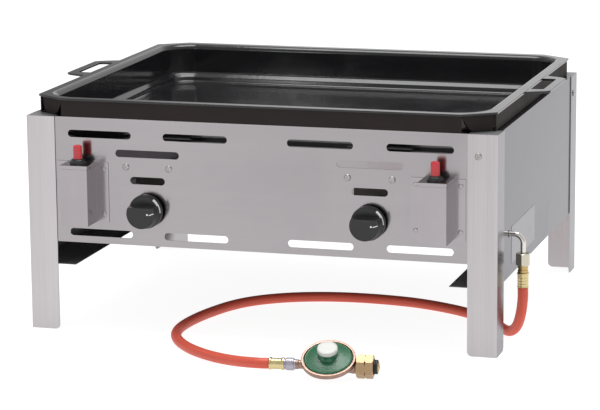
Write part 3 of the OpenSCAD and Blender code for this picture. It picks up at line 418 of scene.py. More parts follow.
METAL = {
    "screw_steel": bare_metal("screw_plated_steel", rgb(176, 174, 172), rgb(146, 144, 142),
                              0.14, rgb(206, 204, 202)),
    "burner_steel": bare_metal("burner_heat_tinted_steel", rgb(160, 150, 138),
                               rgb(112, 100, 96), 0.4, rgb(176, 168, 158), size=24.0),
    "bright_pipe": bare_metal("pipe_bright_plating", rgb(222, 219, 213), rgb(200, 196, 190),
                              0.12, rgb(236, 234, 230)),
    "nickel": bare_metal("union_nut_nickel", rgb(206, 200, 184), rgb(186, 180, 164),
                         0.24, rgb(236, 230, 214)),
    "rail_steel": bare_metal("rail_zinc_plate", rgb(140, 136, 133), rgb(112, 110, 108), 0.36,
                             rgb(196, 194, 190)),
    "brass": bare_metal("turned_brass", rgb(200, 172, 116), rgb(176, 148, 94), 0.25,
                        rgb(226, 198, 140)),
    "yellow_zinc": bare_metal("ferrule_yellow_zinc", rgb(220, 204, 156), rgb(194, 176, 126),
                              0.28, rgb(238, 230, 200), size=120.0),
    "grey_zinc": bare_metal("sleeve_grey_zinc", rgb(184, 180, 192), rgb(156, 152, 164), 0.38,
                            rgb(214, 212, 212), size=160.0, peel=500.0, depth=0.4),
    "bronze_zinc": bare_metal("housing_zinc_casting", rgb(166, 138, 124), rgb(136, 112, 101),
                              0.34, rgb(222, 198, 178), depth=0.2),
    "nut_bronze": bare_metal("cylinder_nut_brass", rgb(182, 154, 120), rgb(148, 124, 94),
                             0.32, rgb(224, 186, 148), size=110.0, depth=0.12),
    "copper": bare_metal("probe_copper", rgb(200, 134, 104), rgb(172, 108, 82), 0.3,
                         rgb(220, 164, 136)),
}
print("finishes:", len(bpy.data.materials))

# %% [markdown]
# ### Hose rubber
# Gas hose is orange-red rubber with a matt skin. It is moulded in a long pipe, so it carries
# fine lines along its length. Its own map of metres along and round it carries them, so the
# lines follow every bend.

# %% Hose finish
def make_hose_rubber():
    material, tree, bsdf, place = start("hose_orange_rubber", Specular_IOR_Level=0.45)
    map_uv = add(tree, "ShaderNodeUVMap", uv_map="along").outputs[0]
    stretched = add(tree, "ShaderNodeMapping", Vector=map_uv, Scale=(14.0, 900.0, 1.0))
    lines = add(tree, "ShaderNodeTexNoise", Vector=stretched, Scale=1.0, Detail=3.0)
    smudge = place_group(tree, SMUDGES, Place=place, Size=30.0)
    colour = blend(tree, between(tree, lines.outputs[0], 0.35, 0.65), rgb(196, 72, 54),
                   rgb(213, 92, 71))
    facing = add(tree, "ShaderNodeNewGeometry").outputs["Normal"]
    fallen = place_group(tree, DUST, Place=place, Facing=facing, Amount=0.3)
    colour = blend(tree, fallen.outputs["Mask"], colour, rgb(214, 140, 124))
    wire(tree, colour, bsdf.inputs["Base Color"])
    wire(tree, between(tree, smudge.outputs["Cloud"], 0.3, 0.7, 0.42, 0.58),
         bsdf.inputs["Roughness"])
    bump = add(tree, "ShaderNodeBump", Strength=0.25, Distance=0.0003,
               Height=lines.outputs[0])
    wire(tree, bump, bsdf.inputs["Normal"])
    return material


HOSE_RUBBER = make_hose_rubber()

# %% [markdown]
# ## The gas hose
# The hose is the one soft part. It leaves the ferrule under the inlet pipe straight down,
# turns along the ground, makes one wide loose bow under the stove and rises at its far end to
# the height of the regulator's axis. It is one closed tube along a smooth line through the CAD
# route's points. We make the tube in mesh code so that each ring sits square to the line.

# %% The route
HOSE_POINTS_MM = [
    (343, -177, 79), (343, -177, 63), (340, -174, 42), (333, -164, 23), (322, -149, 11),
    (309, -130, 7), (290, -104, 7), (266, -76, 7), (236, -50, 7), (198, -29, 7),
    (157, -14, 7), (116, -7, 7), (76, -5, 7), (38, -8, 7), (4, -16, 7),
    (-27, -29, 7), (-54, -47, 7), (-76, -70, 7), (-92, -98, 7), (-104, -132, 7),
    (-113, -168, 7), (-118, -204, 7), (-118, -238, 7), (-111, -270, 7), (-96, -300, 7),
    (-74, -328, 7), (-47, -354, 8), (-16, -378, 10), (15, -398, 13), (47, -411, 16),
    (63, -409, 16),
]
HOSE_D = 0.014


def smooth_route(points, steps):
    """A smooth line through the points that never sinks below the ground it lies on."""
    p = [Vector(q) * MM for q in points]
    ends = [p[0] * 2 - p[1]] + p + [p[-1] * 2 - p[-2]]
    line = []
    for a, b, c, d in zip(ends, ends[1:], ends[2:], ends[3:]):
        for k in range(steps):
            t = k / steps
            at = 0.5 * ((2 * b) + (c - a) * t + (2 * a - 5 * b + 4 * c - d) * t * t
                        + (3 * b - a - 3 * c + d) * t ** 3)
            at.z = max(at.z, HOSE_D / 2)
            line.append(at)
    return line + [p[-1]]


# %% The tube
def tube_mesh(name, line, radius, faces):
    """A closed tube along a line, with a UV map of metres along and round it."""
    mesh = bpy.data.meshes.new(name)
    bm = bmesh.new()
    uv = bm.loops.layers.uv.new("along")
    side = Vector((0, 1, 0))
    rings, gone = [], [0.0]
    for i, at in enumerate(line):
        if i:
            gone.append(gone[-1] + (at - line[i - 1]).length)
        ahead = (line[min(i + 1, len(line) - 1)] - line[max(i - 1, 0)]).normalized()
        side = (side - ahead * side.dot(ahead)).normalized()
        other = ahead.cross(side)
        rings.append([bm.verts.new(at + radius * (
            math.cos(2 * math.pi * k / faces) * side + math.sin(2 * math.pi * k / faces) * other))
            for k in range(faces)])
    for i in range(len(line) - 1):
        for k in range(faces):
            n = (k + 1) % faces
            face = bm.faces.new((rings[i][k], rings[i][n], rings[i + 1][n], rings[i + 1][k]))
            face.smooth = True
            corners = ((i, k), (i, k + 1), (i + 1, k + 1), (i + 1, k))
            for loop, (row, turn) in zip(face.loops, corners):
                loop[uv].uv = (gone[row], turn / faces * 2 * math.pi * radius)
    bm.faces.new(rings[0][::-1])
    bm.faces.new(rings[-1])
    bm.normal_update()
    bm.to_mesh(mesh)
    bm.free()
    piece = bpy.data.objects.new(name, mesh)
    bpy.context.collection.objects.link(piece)
    return piece, gone[-1]


hose_line = smooth_route(HOSE_POINTS_MM, 6)
hose, hose_length = tube_mesh("orange_gas_hose", hose_line, HOSE_D / 2, 28)
hose.data.materials.append(HOSE_RUBBER)
print("hose length", round(hose_length, 3), "m")

# %% [markdown]
# ## Modelling helpers
# Most pieces start as a primitive and are shaped in edit mode. The helpers below do the parts
# that every piece needs: an empty selection, faces or edges picked by a test, soft edges, and
# the last step, in which the piece gets its finish, its moving body and the CAD node that it
# stands for. Its place goes into its mesh, and its object stays at the origin.

# %% Selection helpers
def deselect():
    if bpy.context.object and bpy.context.object.mode != "OBJECT":
        bpy.ops.object.mode_set(mode="OBJECT")
    bpy.ops.object.select_all(action="DESELECT")


def edit(piece):
    """Opens one piece in edit mode with everything in it selected."""
    deselect()
    bpy.context.view_layer.objects.active = piece
    piece.select_set(True)
    bpy.ops.object.mode_set(mode="EDIT")
    bpy.ops.mesh.select_all(action="SELECT")


def pick(kind, test):
    """Selects in edit mode only the vertices, edges or faces that pass a test."""
    bpy.ops.mesh.select_mode(type=kind)
    bpy.ops.mesh.select_all(action="DESELECT")
    bm = bmesh.from_edit_mesh(bpy.context.object.data)
    for part in {"VERT": bm.verts, "EDGE": bm.edges, "FACE": bm.faces}[kind]:
        if test(part):
            part.select_set(True)
    bm.select_flush_mode()
    bmesh.update_edit_mesh(bpy.context.object.data)


def settle(piece, angle=32):
    """Puts the piece's place into its mesh and smooths all but its sharp edges. The normals
    are weighed by area, so that a broad flat face stays flat beside its rounded edge."""
    deselect()
    bpy.context.view_layer.objects.active = piece
    piece.select_set(True)
    bpy.ops.object.transform_apply(location=True, rotation=True, scale=True)
    bpy.ops.object.shade_smooth_by_angle(angle=math.radians(angle))
    weigh = piece.modifiers.new("flat_faces_lead", "WEIGHTED_NORMAL")
    weigh.keep_sharp = True
    bpy.ops.object.modifier_apply(modifier=weigh.name)
    return piece


def apply_modifier(piece, kind, **values):
    """Adds one modifier to a piece and applies it."""
    deselect()
    bpy.context.view_layer.objects.active = piece
    piece.select_set(True)
    modifier = piece.modifiers.new("shape", kind)
    for key, value in values.items():
        setattr(modifier, key, value)
    bpy.ops.object.modifier_apply(modifier=modifier.name)


def soften(piece, width, segments=2, angle=30):
    apply_modifier(piece, "BEVEL", width=width, segments=segments, limit_method="ANGLE",
                   angle_limit=math.radians(angle), use_clamp_overlap=True)


def hand_over(piece, name, body, material, slot, *stands_for):
    """Names a finished piece, gives it its finish and ties it to the frame."""
    piece.name = name
    piece.data.name = name
    piece.data.materials.clear()
    piece.data.materials.append(material)
    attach(piece, body)
    if stands_for:
        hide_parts(*stands_for)
    return piece


def join(pieces):
    deselect()
    for piece in pieces:
        piece.select_set(True)
    bpy.context.view_layer.objects.active = pieces[0]
    bpy.ops.object.join()
    return pieces[0]


# %% Primitive helpers
def box_piece(low, high):
    """A cube added at its size and place, in millimetres."""
    deselect()
    size = [(b - a) * MM for a, b in zip(low, high)]
    middle = [(a + b) / 2 * MM for a, b in zip(low, high)]
    bpy.ops.mesh.primitive_cube_add(size=1, location=middle)
    piece = bpy.context.object
    piece.scale = size
    bpy.ops.object.transform_apply(location=True, rotation=True, scale=True)
    return piece


def lathe(profile, steps=56):
    """Turns (radius, height) points in millimetres about Z. One point is extruded along
    the profile, and the line it draws is spun once round."""
    deselect()
    bpy.ops.mesh.primitive_plane_add(size=MM)
    piece = bpy.context.object
    bpy.ops.object.mode_set(mode="EDIT")
    bpy.ops.mesh.select_mode(type="VERT")
    bpy.ops.mesh.select_all(action="SELECT")
    bpy.ops.mesh.merge(type="CENTER")
    bpy.ops.transform.translate(value=(profile[0][0] * MM, 0, profile[0][1] * MM))
    for (r0, z0), (r1, z1) in zip(profile, profile[1:]):
        bpy.ops.mesh.extrude_vertices_move(
            TRANSFORM_OT_translate={"value": ((r1 - r0) * MM, 0, (z1 - z0) * MM)})
    bpy.ops.mesh.select_all(action="SELECT")
    bpy.ops.mesh.spin(steps=steps, angle=2 * math.pi, center=(0, 0, 0), axis=(0, 0, 1))
    bpy.ops.mesh.select_all(action="SELECT")
    bpy.ops.mesh.remove_doubles(threshold=0.000002)
    bpy.ops.mesh.normals_make_consistent(inside=False)
    bpy.ops.object.mode_set(mode="OBJECT")
    return piece


def moved(piece, matrix):
    piece.matrix_world = matrix @ piece.matrix_world
    return settle(piece)


def arc(middle, radius, start, end, steps):
    """Points on an arc, from one angle in degrees to another."""
    turns = [math.radians(start + (end - start) * k / steps) for k in range(steps + 1)]
    return [(middle[0] + radius * math.cos(a), middle[1] + radius * math.sin(a))
            for a in turns]


# %% [markdown]
# ## Sheet metal from the CAD nodes
# Cut and folded sheet already has the right shape in the CAD model, but its edges are perfectly
# sharp, which no real sheet has. We take a copy of the node's mesh, merge its loose triangles,
# clear the needless edges from its flat faces and round what is left with a small bevel.
# A leg has three finishes: its front and back are plain, its side faces take a darker copy of
# the steel, which is painted shade, and the seat tab on its top, which carries the pan, takes
# the heat shields' dull grey, a painted reflection of the pan's dark underside.

# %% Softened copies
def softened(node, width, segments=2, angle=30):
    deselect()
    source = frame["nodes"][node]
    piece = bpy.data.objects.new("softened_" + node, source.data.copy())
    bpy.context.collection.objects.link(piece)
    edit(piece)
    bpy.ops.mesh.remove_doubles(threshold=0.000004)
    bpy.ops.mesh.dissolve_limited(angle_limit=math.radians(1.5))
    bpy.ops.object.mode_set(mode="OBJECT")
    soften(piece, width * MM, segments, angle)
    return settle(piece)


SHEET_WORK = [
    ("front_panel", 0.25, "stainless_panel"), ("back_panel", 0.25, "stainless_panel"),
    ("left_side_panel", 0.25, "stainless_side"), ("right_side_panel", 0.25, "stainless_side"),
    ("front_left_leg", 0.4, "stainless_leg"), ("front_right_leg", 0.4, "stainless_leg"),
    ("rear_left_leg", 0.4, "stainless_leg"), ("rear_right_leg", 0.4, "stainless_leg"),
    ("left_heat_shield", 0.25, "black_sheet"), ("right_heat_shield", 0.25, "black_sheet"),
    ("left_igniter_box", 0.8, "stainless_box"), ("right_igniter_box", 0.8, "stainless_box"),
    ("leg_screws", 0.3, "screw_steel"), ("bracket_screws", 0.3, "screw_steel"),
    ("igniter_rivets", 0.3, "screw_steel"),
    ("left_pan_handle", 0.8, "black_enamel"), ("right_pan_handle", 0.8, "black_enamel"),
    ("inlet_pipe", 0.2, "bright_pipe"),
]
SEAT_Z, SIDEWAYS = 0.28, 0.7
for node, width, finish in SHEET_WORK:
    material = {**STEEL, **COAT, **METAL, "black_enamel": ENAMEL}[finish]
    slot = {"stainless_side": "stainless_panel"}.get(finish, finish)
    body = frame["nodes"][node]["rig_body"]
    piece = hand_over(softened(node, width), "softened_" + node, body, material, slot, node)
    # painted shade: each leg's side faces take the darker copy of the steel
    if finish == "stainless_leg":
        piece.data.materials.append(STEEL["leg_flank_painted_shade"])
        piece.data.materials.append(COAT["black_sheet"])
        for face in piece.data.polygons:
            if abs(face.normal.x) > SIDEWAYS:
                face.material_index = 1
            # painted reflection: the seat tab takes the dull grey for the pan's dark underside
            # that it mirrors
            elif abs(face.normal.z) > SIDEWAYS and face.center.z > SEAT_Z:
                face.material_index = 2
    print(piece.name, len(piece.data.polygons), "faces")

# %% [markdown]
# ## The pan
# The pan is pressed from one sheet: a flat rim with its corners cut off, a rounded edge, a
# steep wall, a short sloping shoulder, and a floor. We start with the rim's inner outline as
# one face and inset it again and again, each time a little further in and down, which draws
# the whole section with even corners. The rim is then filled out to its outer outline, and the
# shell gets its thickness last. The skirt under the rim is eight plates: one on each side, and
# one across each cut corner.

# %% The pan's shell
Y_MIDDLE, RIM_Z = 17.0, 320.0
RIM_X, RIM_Y, CUT_X, CUT_Y = 318.0, 270.0, 42.0, 29.0
FLAT_X, FLAT_Y, FLAT_R = 307.5, 259.5, 47.5
PAN_SHEET, RIM_LIP = 2.0, 3.0


def pan_section():
    """The section from the rim's flat to the floor, as (inwards, height) points."""
    return ([(0, 0), (0.6, 0)] + arc((0.6, -8), 8, 90, 4, 9)[1:]
            + arc((14, -41), 5, 184, 232, 5) + arc((12.4, -51.2), 4, 52, 20, 4)
            + arc((20.6, -51.8), 4.2, 200, 270, 6))


def pan_shell():
    deselect()
    start_x = (RIM_X - CUT_X) + CUT_Y
    bpy.ops.mesh.primitive_plane_add(size=2)
    piece = bpy.context.object
    piece.scale = (start_x * MM, RIM_Y * MM, 1)
    bpy.ops.object.transform_apply(scale=True)
    bpy.ops.object.mode_set(mode="EDIT")
    bpy.ops.mesh.bevel(offset=CUT_Y * MM, affect="VERTICES", segments=1)
    pick("VERT", lambda v: abs(v.co.x) > (RIM_X - CUT_X + 0.01) * MM)
    bpy.ops.transform.resize(value=(RIM_X / start_x, 1, 1), center_override=(0, 0, 0))
    bpy.ops.mesh.select_all(action="SELECT")
    bpy.ops.mesh.delete(type="ONLY_FACE")
    bpy.ops.object.mode_set(mode="OBJECT")
    return piece


def pan_well():
    deselect()
    bpy.ops.mesh.primitive_plane_add(size=2)
    piece = bpy.context.object
    piece.scale = (FLAT_X * MM, FLAT_Y * MM, 1)
    bpy.ops.object.transform_apply(scale=True)
    bpy.ops.object.mode_set(mode="EDIT")
    bpy.ops.mesh.bevel(offset=FLAT_R * MM, affect="VERTICES", segments=12, profile=0.5)
    bpy.ops.mesh.select_mode(type="FACE")
    bpy.ops.mesh.select_all(action="SELECT")
    section = pan_section()
    for (x0, z0), (x1, z1) in zip(section, section[1:]):
        bpy.ops.mesh.inset(thickness=(x1 - x0) * MM, depth=(z1 - z0) * MM,
                           use_even_offset=True)
    bpy.ops.object.mode_set(mode="OBJECT")
    return piece


def finish_pan_shell():
    shell = join([pan_shell(), pan_well()])
    edit(shell)
    pick("EDGE", lambda e: e.is_boundary or e.is_wire)
    bpy.ops.mesh.fill(use_beauty=True)
    bpy.ops.mesh.select_all(action="SELECT")
    bpy.ops.mesh.normals_make_consistent(inside=False)
    bm = bmesh.from_edit_mesh(shell.data)
    bm.normal_update()
    if sum(f.normal.z * f.calc_area() for f in bm.faces) < 0:
        bpy.ops.mesh.flip_normals()
    pick("EDGE", lambda e: e.is_boundary)
    bpy.ops.mesh.extrude_region_move(TRANSFORM_OT_translate={"value": (0, 0, -RIM_LIP * MM)})
    bpy.ops.object.mode_set(mode="OBJECT")
    shell.location = (0, Y_MIDDLE * MM, RIM_Z * MM)
    apply_modifier(shell, "SOLIDIFY", thickness=PAN_SHEET * MM, offset=-1,
                   use_even_offset=True)
    soften(shell, 0.9 * MM, 3, 50)
    return settle(shell, 40)


# %% The pan's apron
APRON_MIDDLE, APRON_HIGH, APRON_FOOT, FOOT_FOLD = 306.6, 22.8, 296, 7


def apron_plate(length, out, turn):
    """One side of the skirt under the rim. Its foot is folded in and rests on the frame."""
    deselect()
    bpy.ops.mesh.primitive_plane_add(size=1, rotation=(math.radians(90), 0, 0),
                                     location=(0, -out * MM, APRON_MIDDLE * MM))
    piece = bpy.context.object
    piece.scale = (length * MM, APRON_HIGH * MM, 1)
    bpy.ops.object.transform_apply(location=True, rotation=True, scale=True)
    bpy.ops.object.mode_set(mode="EDIT")
    pick("EDGE", lambda e: all(v.co.z < APRON_FOOT * MM for v in e.verts))
    bpy.ops.mesh.extrude_region_move(TRANSFORM_OT_translate={"value": (0, FOOT_FOLD * MM, 0)})
    bpy.ops.object.mode_set(mode="OBJECT")
    apply_modifier(piece, "SOLIDIFY", thickness=PAN_SHEET * MM, offset=-1,
                   use_even_offset=True)
    soften(piece, 0.7 * MM, 2)
    return moved(piece, Matrix.Translation((0, Y_MIDDLE * MM, 0))
                 @ Matrix.Rotation(math.radians(turn), 4, "Z"))


def corner_plate(side_x, side_y):
    """The plate across a cut corner: wide under the rim, narrow and rounded at its foot."""
    length = math.hypot(CUT_X, CUT_Y)
    deselect()
    bpy.ops.mesh.primitive_plane_add(size=1, rotation=(math.radians(90), 0, 0),
                                     location=(length / 2 * MM, 3.9 * MM, APRON_MIDDLE * MM))
    piece = bpy.context.object
    piece.scale = ((length - 2) * MM, APRON_HIGH * MM, 1)
    bpy.ops.object.transform_apply(location=True, rotation=True, scale=True)
    bpy.ops.object.mode_set(mode="EDIT")
    pick("VERT", lambda v: v.co.z < APRON_FOOT * MM)
    foot = (0.3 * length, 0.85 * length)
    bpy.ops.transform.resize(value=((foot[1] - foot[0]) / (length - 2), 1, 1),
                             center_override=(sum(foot) / 2 * MM, 0, 0))
    middle = (length / 2 - sum(foot) / 2) * (foot[1] - foot[0]) / (length - 2)
    bpy.ops.transform.translate(value=(-middle * MM, 0, 0))
    bpy.ops.mesh.bevel(offset=7 * MM, affect="VERTICES", segments=5, profile=0.5)
    bpy.ops.object.mode_set(mode="OBJECT")
    apply_modifier(piece, "SOLIDIFY", thickness=PAN_SHEET * MM, offset=-1,
                   use_even_offset=True)
    soften(piece, 0.6 * MM, 2)
    at = Matrix.Translation(((RIM_X - CUT_X) * MM, -RIM_Y * MM, 0)) @ Matrix.Rotation(
        math.atan2(CUT_Y, CUT_X), 4, "Z")
    flip = Matrix.Diagonal((side_x, side_y, 1, 1))
    settle(piece)
    piece.data.transform(Matrix.Translation((0, Y_MIDDLE * MM, 0)) @ flip @ at)
    edit(piece)
    bpy.ops.mesh.normals_make_consistent(inside=False)
    bpy.ops.object.mode_set(mode="OBJECT")
    return settle(piece)


apron = [apron_plate(2 * (RIM_X - CUT_X), RIM_Y - 2, 0),
         apron_plate(2 * (RIM_X - CUT_X), RIM_Y - 2, 180),
         apron_plate(2 * (RIM_Y - CUT_Y), RIM_X - 2, 90),
         apron_plate(2 * (RIM_Y - CUT_Y), RIM_X - 2, -90)]
corners = [corner_plate(x, y) for x in (-1, 1) for y in (-1, 1)]
hand_over(join(apron + corners), "pan_apron", "pan_unit", APRON, "black_enamel")
pan = hand_over(finish_pan_shell(), "enamelled_pan", "pan_unit", ENAMEL, "black_enamel", "pan")
print("pan", len(pan.data.polygons), "faces", [round(v, 4) for v in pan.dimensions])

# %% [markdown]
# ## The knobs
# A knob is one moulding: a round skirt with a slightly tapered grip on its face. The grip is a
# cone cut by one plane along its upper side, so it is flat above and round below. A white dot
# and line on the grip and a thin wedge on the skirt's edge show how far the gas is open. The
# right knob is a copy of the left one with its own mesh.

# %% Knob body
KNOB_X, KNOB_Z, KNOB_BACK = 154.0, 172.5, -256.5
GRIP_HALF, GRIP_LOW_R, GRIP_TOP_R, GRIP_HIGH = 10.0, 21.8, 19.8, 17.0


def facing_front(x, y, z):
    """Turns a piece made about Z so that its top faces the front, and puts it in place."""
    return Matrix.Translation((x * MM, y * MM, z * MM)) @ Matrix.Rotation(
        math.radians(90), 4, "X")


def knob_body():
    skirt = lathe([(4.2, 0), (21.5, 0), (22.4, 0.4), (23, 1.2), (23, 7.4), (22.6, 8.8),
                   (21.4, 9.8), (20, 10), (12, 9.3), (4.2, 9.3), (4.2, 0)], 72)
    deselect()
    bpy.ops.mesh.primitive_cone_add(vertices=72, radius1=GRIP_LOW_R * MM,
                                    radius2=GRIP_TOP_R * MM, depth=GRIP_HIGH * MM,
                                    location=(0, 0, 17.5 * MM))
    bar = bpy.context.object
    edit(bar)
    bpy.ops.mesh.select_all(action="SELECT")
    bpy.ops.mesh.bisect(plane_co=(0, GRIP_HALF * MM, 0), plane_no=(0, 1, 0.06),
                        clear_outer=True, use_fill=True)
    pick("FACE", lambda f: f.normal.z > 0.9)
    bpy.ops.mesh.inset(thickness=1.6 * MM, depth=0)
    bpy.ops.mesh.inset(thickness=0.5 * MM, depth=-0.35 * MM)
    bpy.ops.object.mode_set(mode="OBJECT")
    soften(bar, 1.1 * MM, 3, 40)
    return join([skirt, bar])


# %% Knob marks
LINE_SLANT, WEDGE_SWEEP = 20, 54


def knob_marks():
    """A dot, a slanting line and a thin wedge, each a little proud of the plastic."""
    deselect()
    bpy.ops.mesh.primitive_cylinder_add(vertices=20, radius=1.3 * MM, depth=0.5 * MM,
                                        location=(9.5 * MM, 0, 25.8 * MM))
    dot = bpy.context.object
    soften(dot, 0.15 * MM, 1)
    line = box_piece((0, -0.55, 25.4), (7.2, 0.55, 26.08))
    soften(line, 0.15 * MM, 1)
    moved(line, Matrix.Translation((12 * MM, -0.6 * MM, 0))
          @ Matrix.Rotation(math.radians(LINE_SLANT), 4, "Z"))
    deselect()
    bpy.ops.mesh.primitive_plane_add(size=MM, rotation=(math.radians(90), 0, 0),
                                     location=(21.3 * MM, 0, 9.5 * MM))
    wedge = bpy.context.object
    wedge.scale = (2.7, 1.6, 1)
    bpy.ops.object.transform_apply(location=True, rotation=True, scale=True)
    bpy.ops.object.mode_set(mode="EDIT")
    bpy.ops.mesh.spin(steps=12, angle=math.radians(-WEDGE_SWEEP), center=(0, 0, 0), axis=(0, 0, 1))
    bpy.ops.mesh.select_all(action="SELECT")
    bpy.ops.mesh.normals_make_consistent(inside=False)
    bpy.ops.object.mode_set(mode="OBJECT")
    return join([dot, line, wedge])


def own_copy(piece):
    copy = piece.copy()
    copy.data = piece.data.copy()
    bpy.context.collection.objects.link(copy)
    return copy


KNOB, MARKS = knob_body(), knob_marks()
for side, label in ((-1, "left"), (1, "right")):
    last = side == 1
    knob = moved(KNOB if last else own_copy(KNOB),
                 facing_front(side * KNOB_X, KNOB_BACK, KNOB_Z))
    hand_over(knob, label + "_gas_knob", label + "_control", COAT["knob_plastic"],
              "knob_plastic", label + "_knob")
    marks = moved(MARKS if last else own_copy(MARKS),
                  facing_front(side * KNOB_X, KNOB_BACK, KNOB_Z))
    hand_over(marks, label + "_knob_marks", label + "_control", COAT["mark_paint"],
              "white_plastic")
print("knob", len(knob.data.polygons), "faces")

# %% [markdown]
# ## The piezo igniters
# A black ring nut holds each igniter in the top of its steel box, and a red button stands out
# of it. Both are turned shapes: the nut has a low cone and fine grip grooves, and the button
# has a shallow dish for the thumb. A thin folded cap closes the box's top round the nut.

# %% Ring nuts and buttons
IGNITER_X, IGNITER_Y, BOX_TOP = 246.0, -269.25, 235.0


def ring_nut():
    nut = lathe([(7.15, 0), (10.6, 0), (11, 0.5), (11, 2.2), (10.6, 2.8), (9.4, 3.2),
                 (9.2, 5.2), (8.6, 5.8), (7.15, 6), (7.15, 0)], 36)
    edit(nut)
    bm = bmesh.from_edit_mesh(nut.data)
    grip = lambda f: (f.normal.z ** 2 < 0.1 and f.calc_center_median().xy.length > 0.0105
                      and round(math.degrees(math.atan2(f.normal.y, f.normal.x)) / 10 - 0.5) % 2)
    pick("FACE", grip)
    bpy.ops.mesh.inset(thickness=0.15 * MM, depth=-0.3 * MM, use_individual=True)
    bpy.ops.object.mode_set(mode="OBJECT")
    return nut


def push_button():
    return lathe([(0, -18.8), (5.95, -18.8), (5.95, 22.6), (5.7, 24), (5, 24.8), (4.2, 25),
                  (3.4, 24.7), (0, 24.3)], 40)


NUT, BUTTON = ring_nut(), push_button()
for side, label in ((-1, "left"), (1, "right")):
    last = side == 1
    at = Matrix.Translation((side * IGNITER_X * MM, IGNITER_Y * MM, BOX_TOP * MM))
    hand_over(moved(NUT if last else own_copy(NUT), at), label + "_ring_nut", "stove",
              COAT["igniter_plastic"], "igniter_plastic", label + "_igniter_nut")
    hand_over(moved(BUTTON if last else own_copy(BUTTON), at), label + "_red_button",
              label + "_button", COAT["red_plastic"], "red_plastic",
              label + "_igniter_button")

# %% Box caps
CAP_HALF, CAP_FRONT, CAP_BACK, CAP_FOLD, CAP_SHEET = 19.5, -287.6, -251.5, 2.4, 0.5
for side, label in ((-1, "left"), (1, "right")):
    x = side * IGNITER_X
    cap = box_piece((x - CAP_HALF, CAP_FRONT, BOX_TOP - CAP_FOLD),
                    (x + CAP_HALF, CAP_BACK, BOX_TOP + CAP_SHEET / 2))
    edit(cap)
    pick("FACE", lambda f: f.normal.z < -0.9 or f.normal.y > 0.9)
    bpy.ops.mesh.delete(type="FACE")
    bpy.ops.object.mode_set(mode="OBJECT")
    apply_modifier(cap, "SOLIDIFY", thickness=CAP_SHEET * MM, offset=-1,
                   use_even_offset=True)
    soften(cap, 0.2 * MM, 2)
    hand_over(settle(cap), label + "_box_cap", "stove", STEEL["stainless_box"], "stainless_box")
print("igniters done")

# %% [markdown]
# ## Nuts and hose ends at the stove
# A hexagon nut is turned before it is used, so both ends of the hexagon are cut by a cone. We
# make that the same way: a six-sided cylinder is cut by a turned barrel, and what both have in
# common is kept. The ferrule is brass-coloured tube crimped onto the hose in rings.

# %% Hexagon nuts
def hex_nut(flats, length, barrel):
    """A hexagon across its flats, kept where it overlaps a turned barrel."""
    deselect()
    bpy.ops.mesh.primitive_cylinder_add(vertices=6, radius=flats / math.sqrt(3) * MM,
                                        depth=length * MM, location=(0, 0, length / 2 * MM))
    nut = bpy.context.object
    edit(nut)
    bpy.ops.mesh.bevel(offset=0.25 * MM, affect="EDGES", segments=2)
    bpy.ops.object.mode_set(mode="OBJECT")
    cutter = lathe(barrel, 72)
    apply_modifier(nut, "BOOLEAN", operation="INTERSECT", object=cutter, solver="EXACT")
    bpy.data.objects.remove(cutter)
    return nut


def barrel(flats, length, bore, chamfer, notch=None, thread=None):
    """A barrel as closed (radius, height) points, with a groove over the hexagon's corners
    and a thread in its bore where they are given."""
    corner = flats / math.sqrt(3)
    flat = flats / 2 - 0.1
    outside = [(flat, 0), (corner + 0.3, chamfer)]
    if notch:
        middle, half = notch
        outside += [(corner + 0.3, middle - half), (flat + 0.3, middle),
                    (corner + 0.3, middle + half)]
    outside += [(corner + 0.3, length - chamfer), (flat, length)]
    inside = [(bore, length), (bore, 0)]
    if thread:
        start_z, thread_r, pitch = thread
        inside = [(thread_r, length)]
        z = length
        while z - pitch > start_z:
            inside += [(thread_r + 0.7, z - pitch / 2), (thread_r, z - pitch)]
            z -= pitch
        inside += [(thread_r, start_z), (bore, start_z), (bore, 0)]
    return outside + inside + outside[:1]


# %% Union nut, fitting and ferrule under the inlet pipe
PIPE_X, PIPE_Y = 343.0, -177.0


def at_pipe(z):
    return Matrix.Translation((PIPE_X * MM, PIPE_Y * MM, z * MM))


UNION_FLATS, UNION_LENGTH, PIPE_BORE = 17.5, 16.4, 3.7
union = hex_nut(UNION_FLATS, UNION_LENGTH, barrel(UNION_FLATS, UNION_LENGTH, PIPE_BORE, 1.6))
hand_over(moved(union, at_pipe(108.6)), "inlet_hexagon_nut", "stove", METAL["nickel"],
          "bright_pipe", "inlet_union_nut")
fitting = lathe([(2.5, 0), (6.7, 0), (7, 0.4), (7, 3.6), (6.2, 4), (6.2, 5.4), (7, 5.8), (7, 9.2),
                 (6.6, 9.55), (2.5, 9.55), (2.5, 0)], 48)
hand_over(moved(fitting, at_pipe(99)), "inlet_brass_fitting", "stove", METAL["brass"],
          "brass", "inlet_hose_fitting")
ferrule = lathe([(0, 0), (6.9, 0), (7.4, 0.3), (7.5, 0.9), (7.3, 1.5), (6.9, 2), (6.9, 4.6),
                 (6.5, 5.2), (6.9, 5.8), (6.9, 8.6), (6.5, 9.2), (6.9, 9.8), (6.9, 12.6),
                 (6.5, 13.2), (6.9, 13.8), (6.9, 17.2), (7.4, 17.8), (7.5, 18.6), (7.3, 19.5),
                 (6.2, 20), (0, 20)], 48)
ferrule.scale = (1.06, 1.06, 1)
settle(ferrule)
hand_over(moved(ferrule, at_pipe(79)), "inlet_crimped_ferrule", "stove",
          METAL["yellow_zinc"], "yellow_zinc", "inlet_hose_ferrule")
print("inlet done")

# %% [markdown]
# ## The regulator
# The regulator lies tipped on its rim. Its raw zinc housing is a shallow dish with a gas
# passage across it, closed by a green cover with a ribbed neck and a white cap. Every part of
# it is a turned shape, so each is spun from its section and then put on one of two axes: the
# gas axis, or the axis of the dish, which stands square to it.

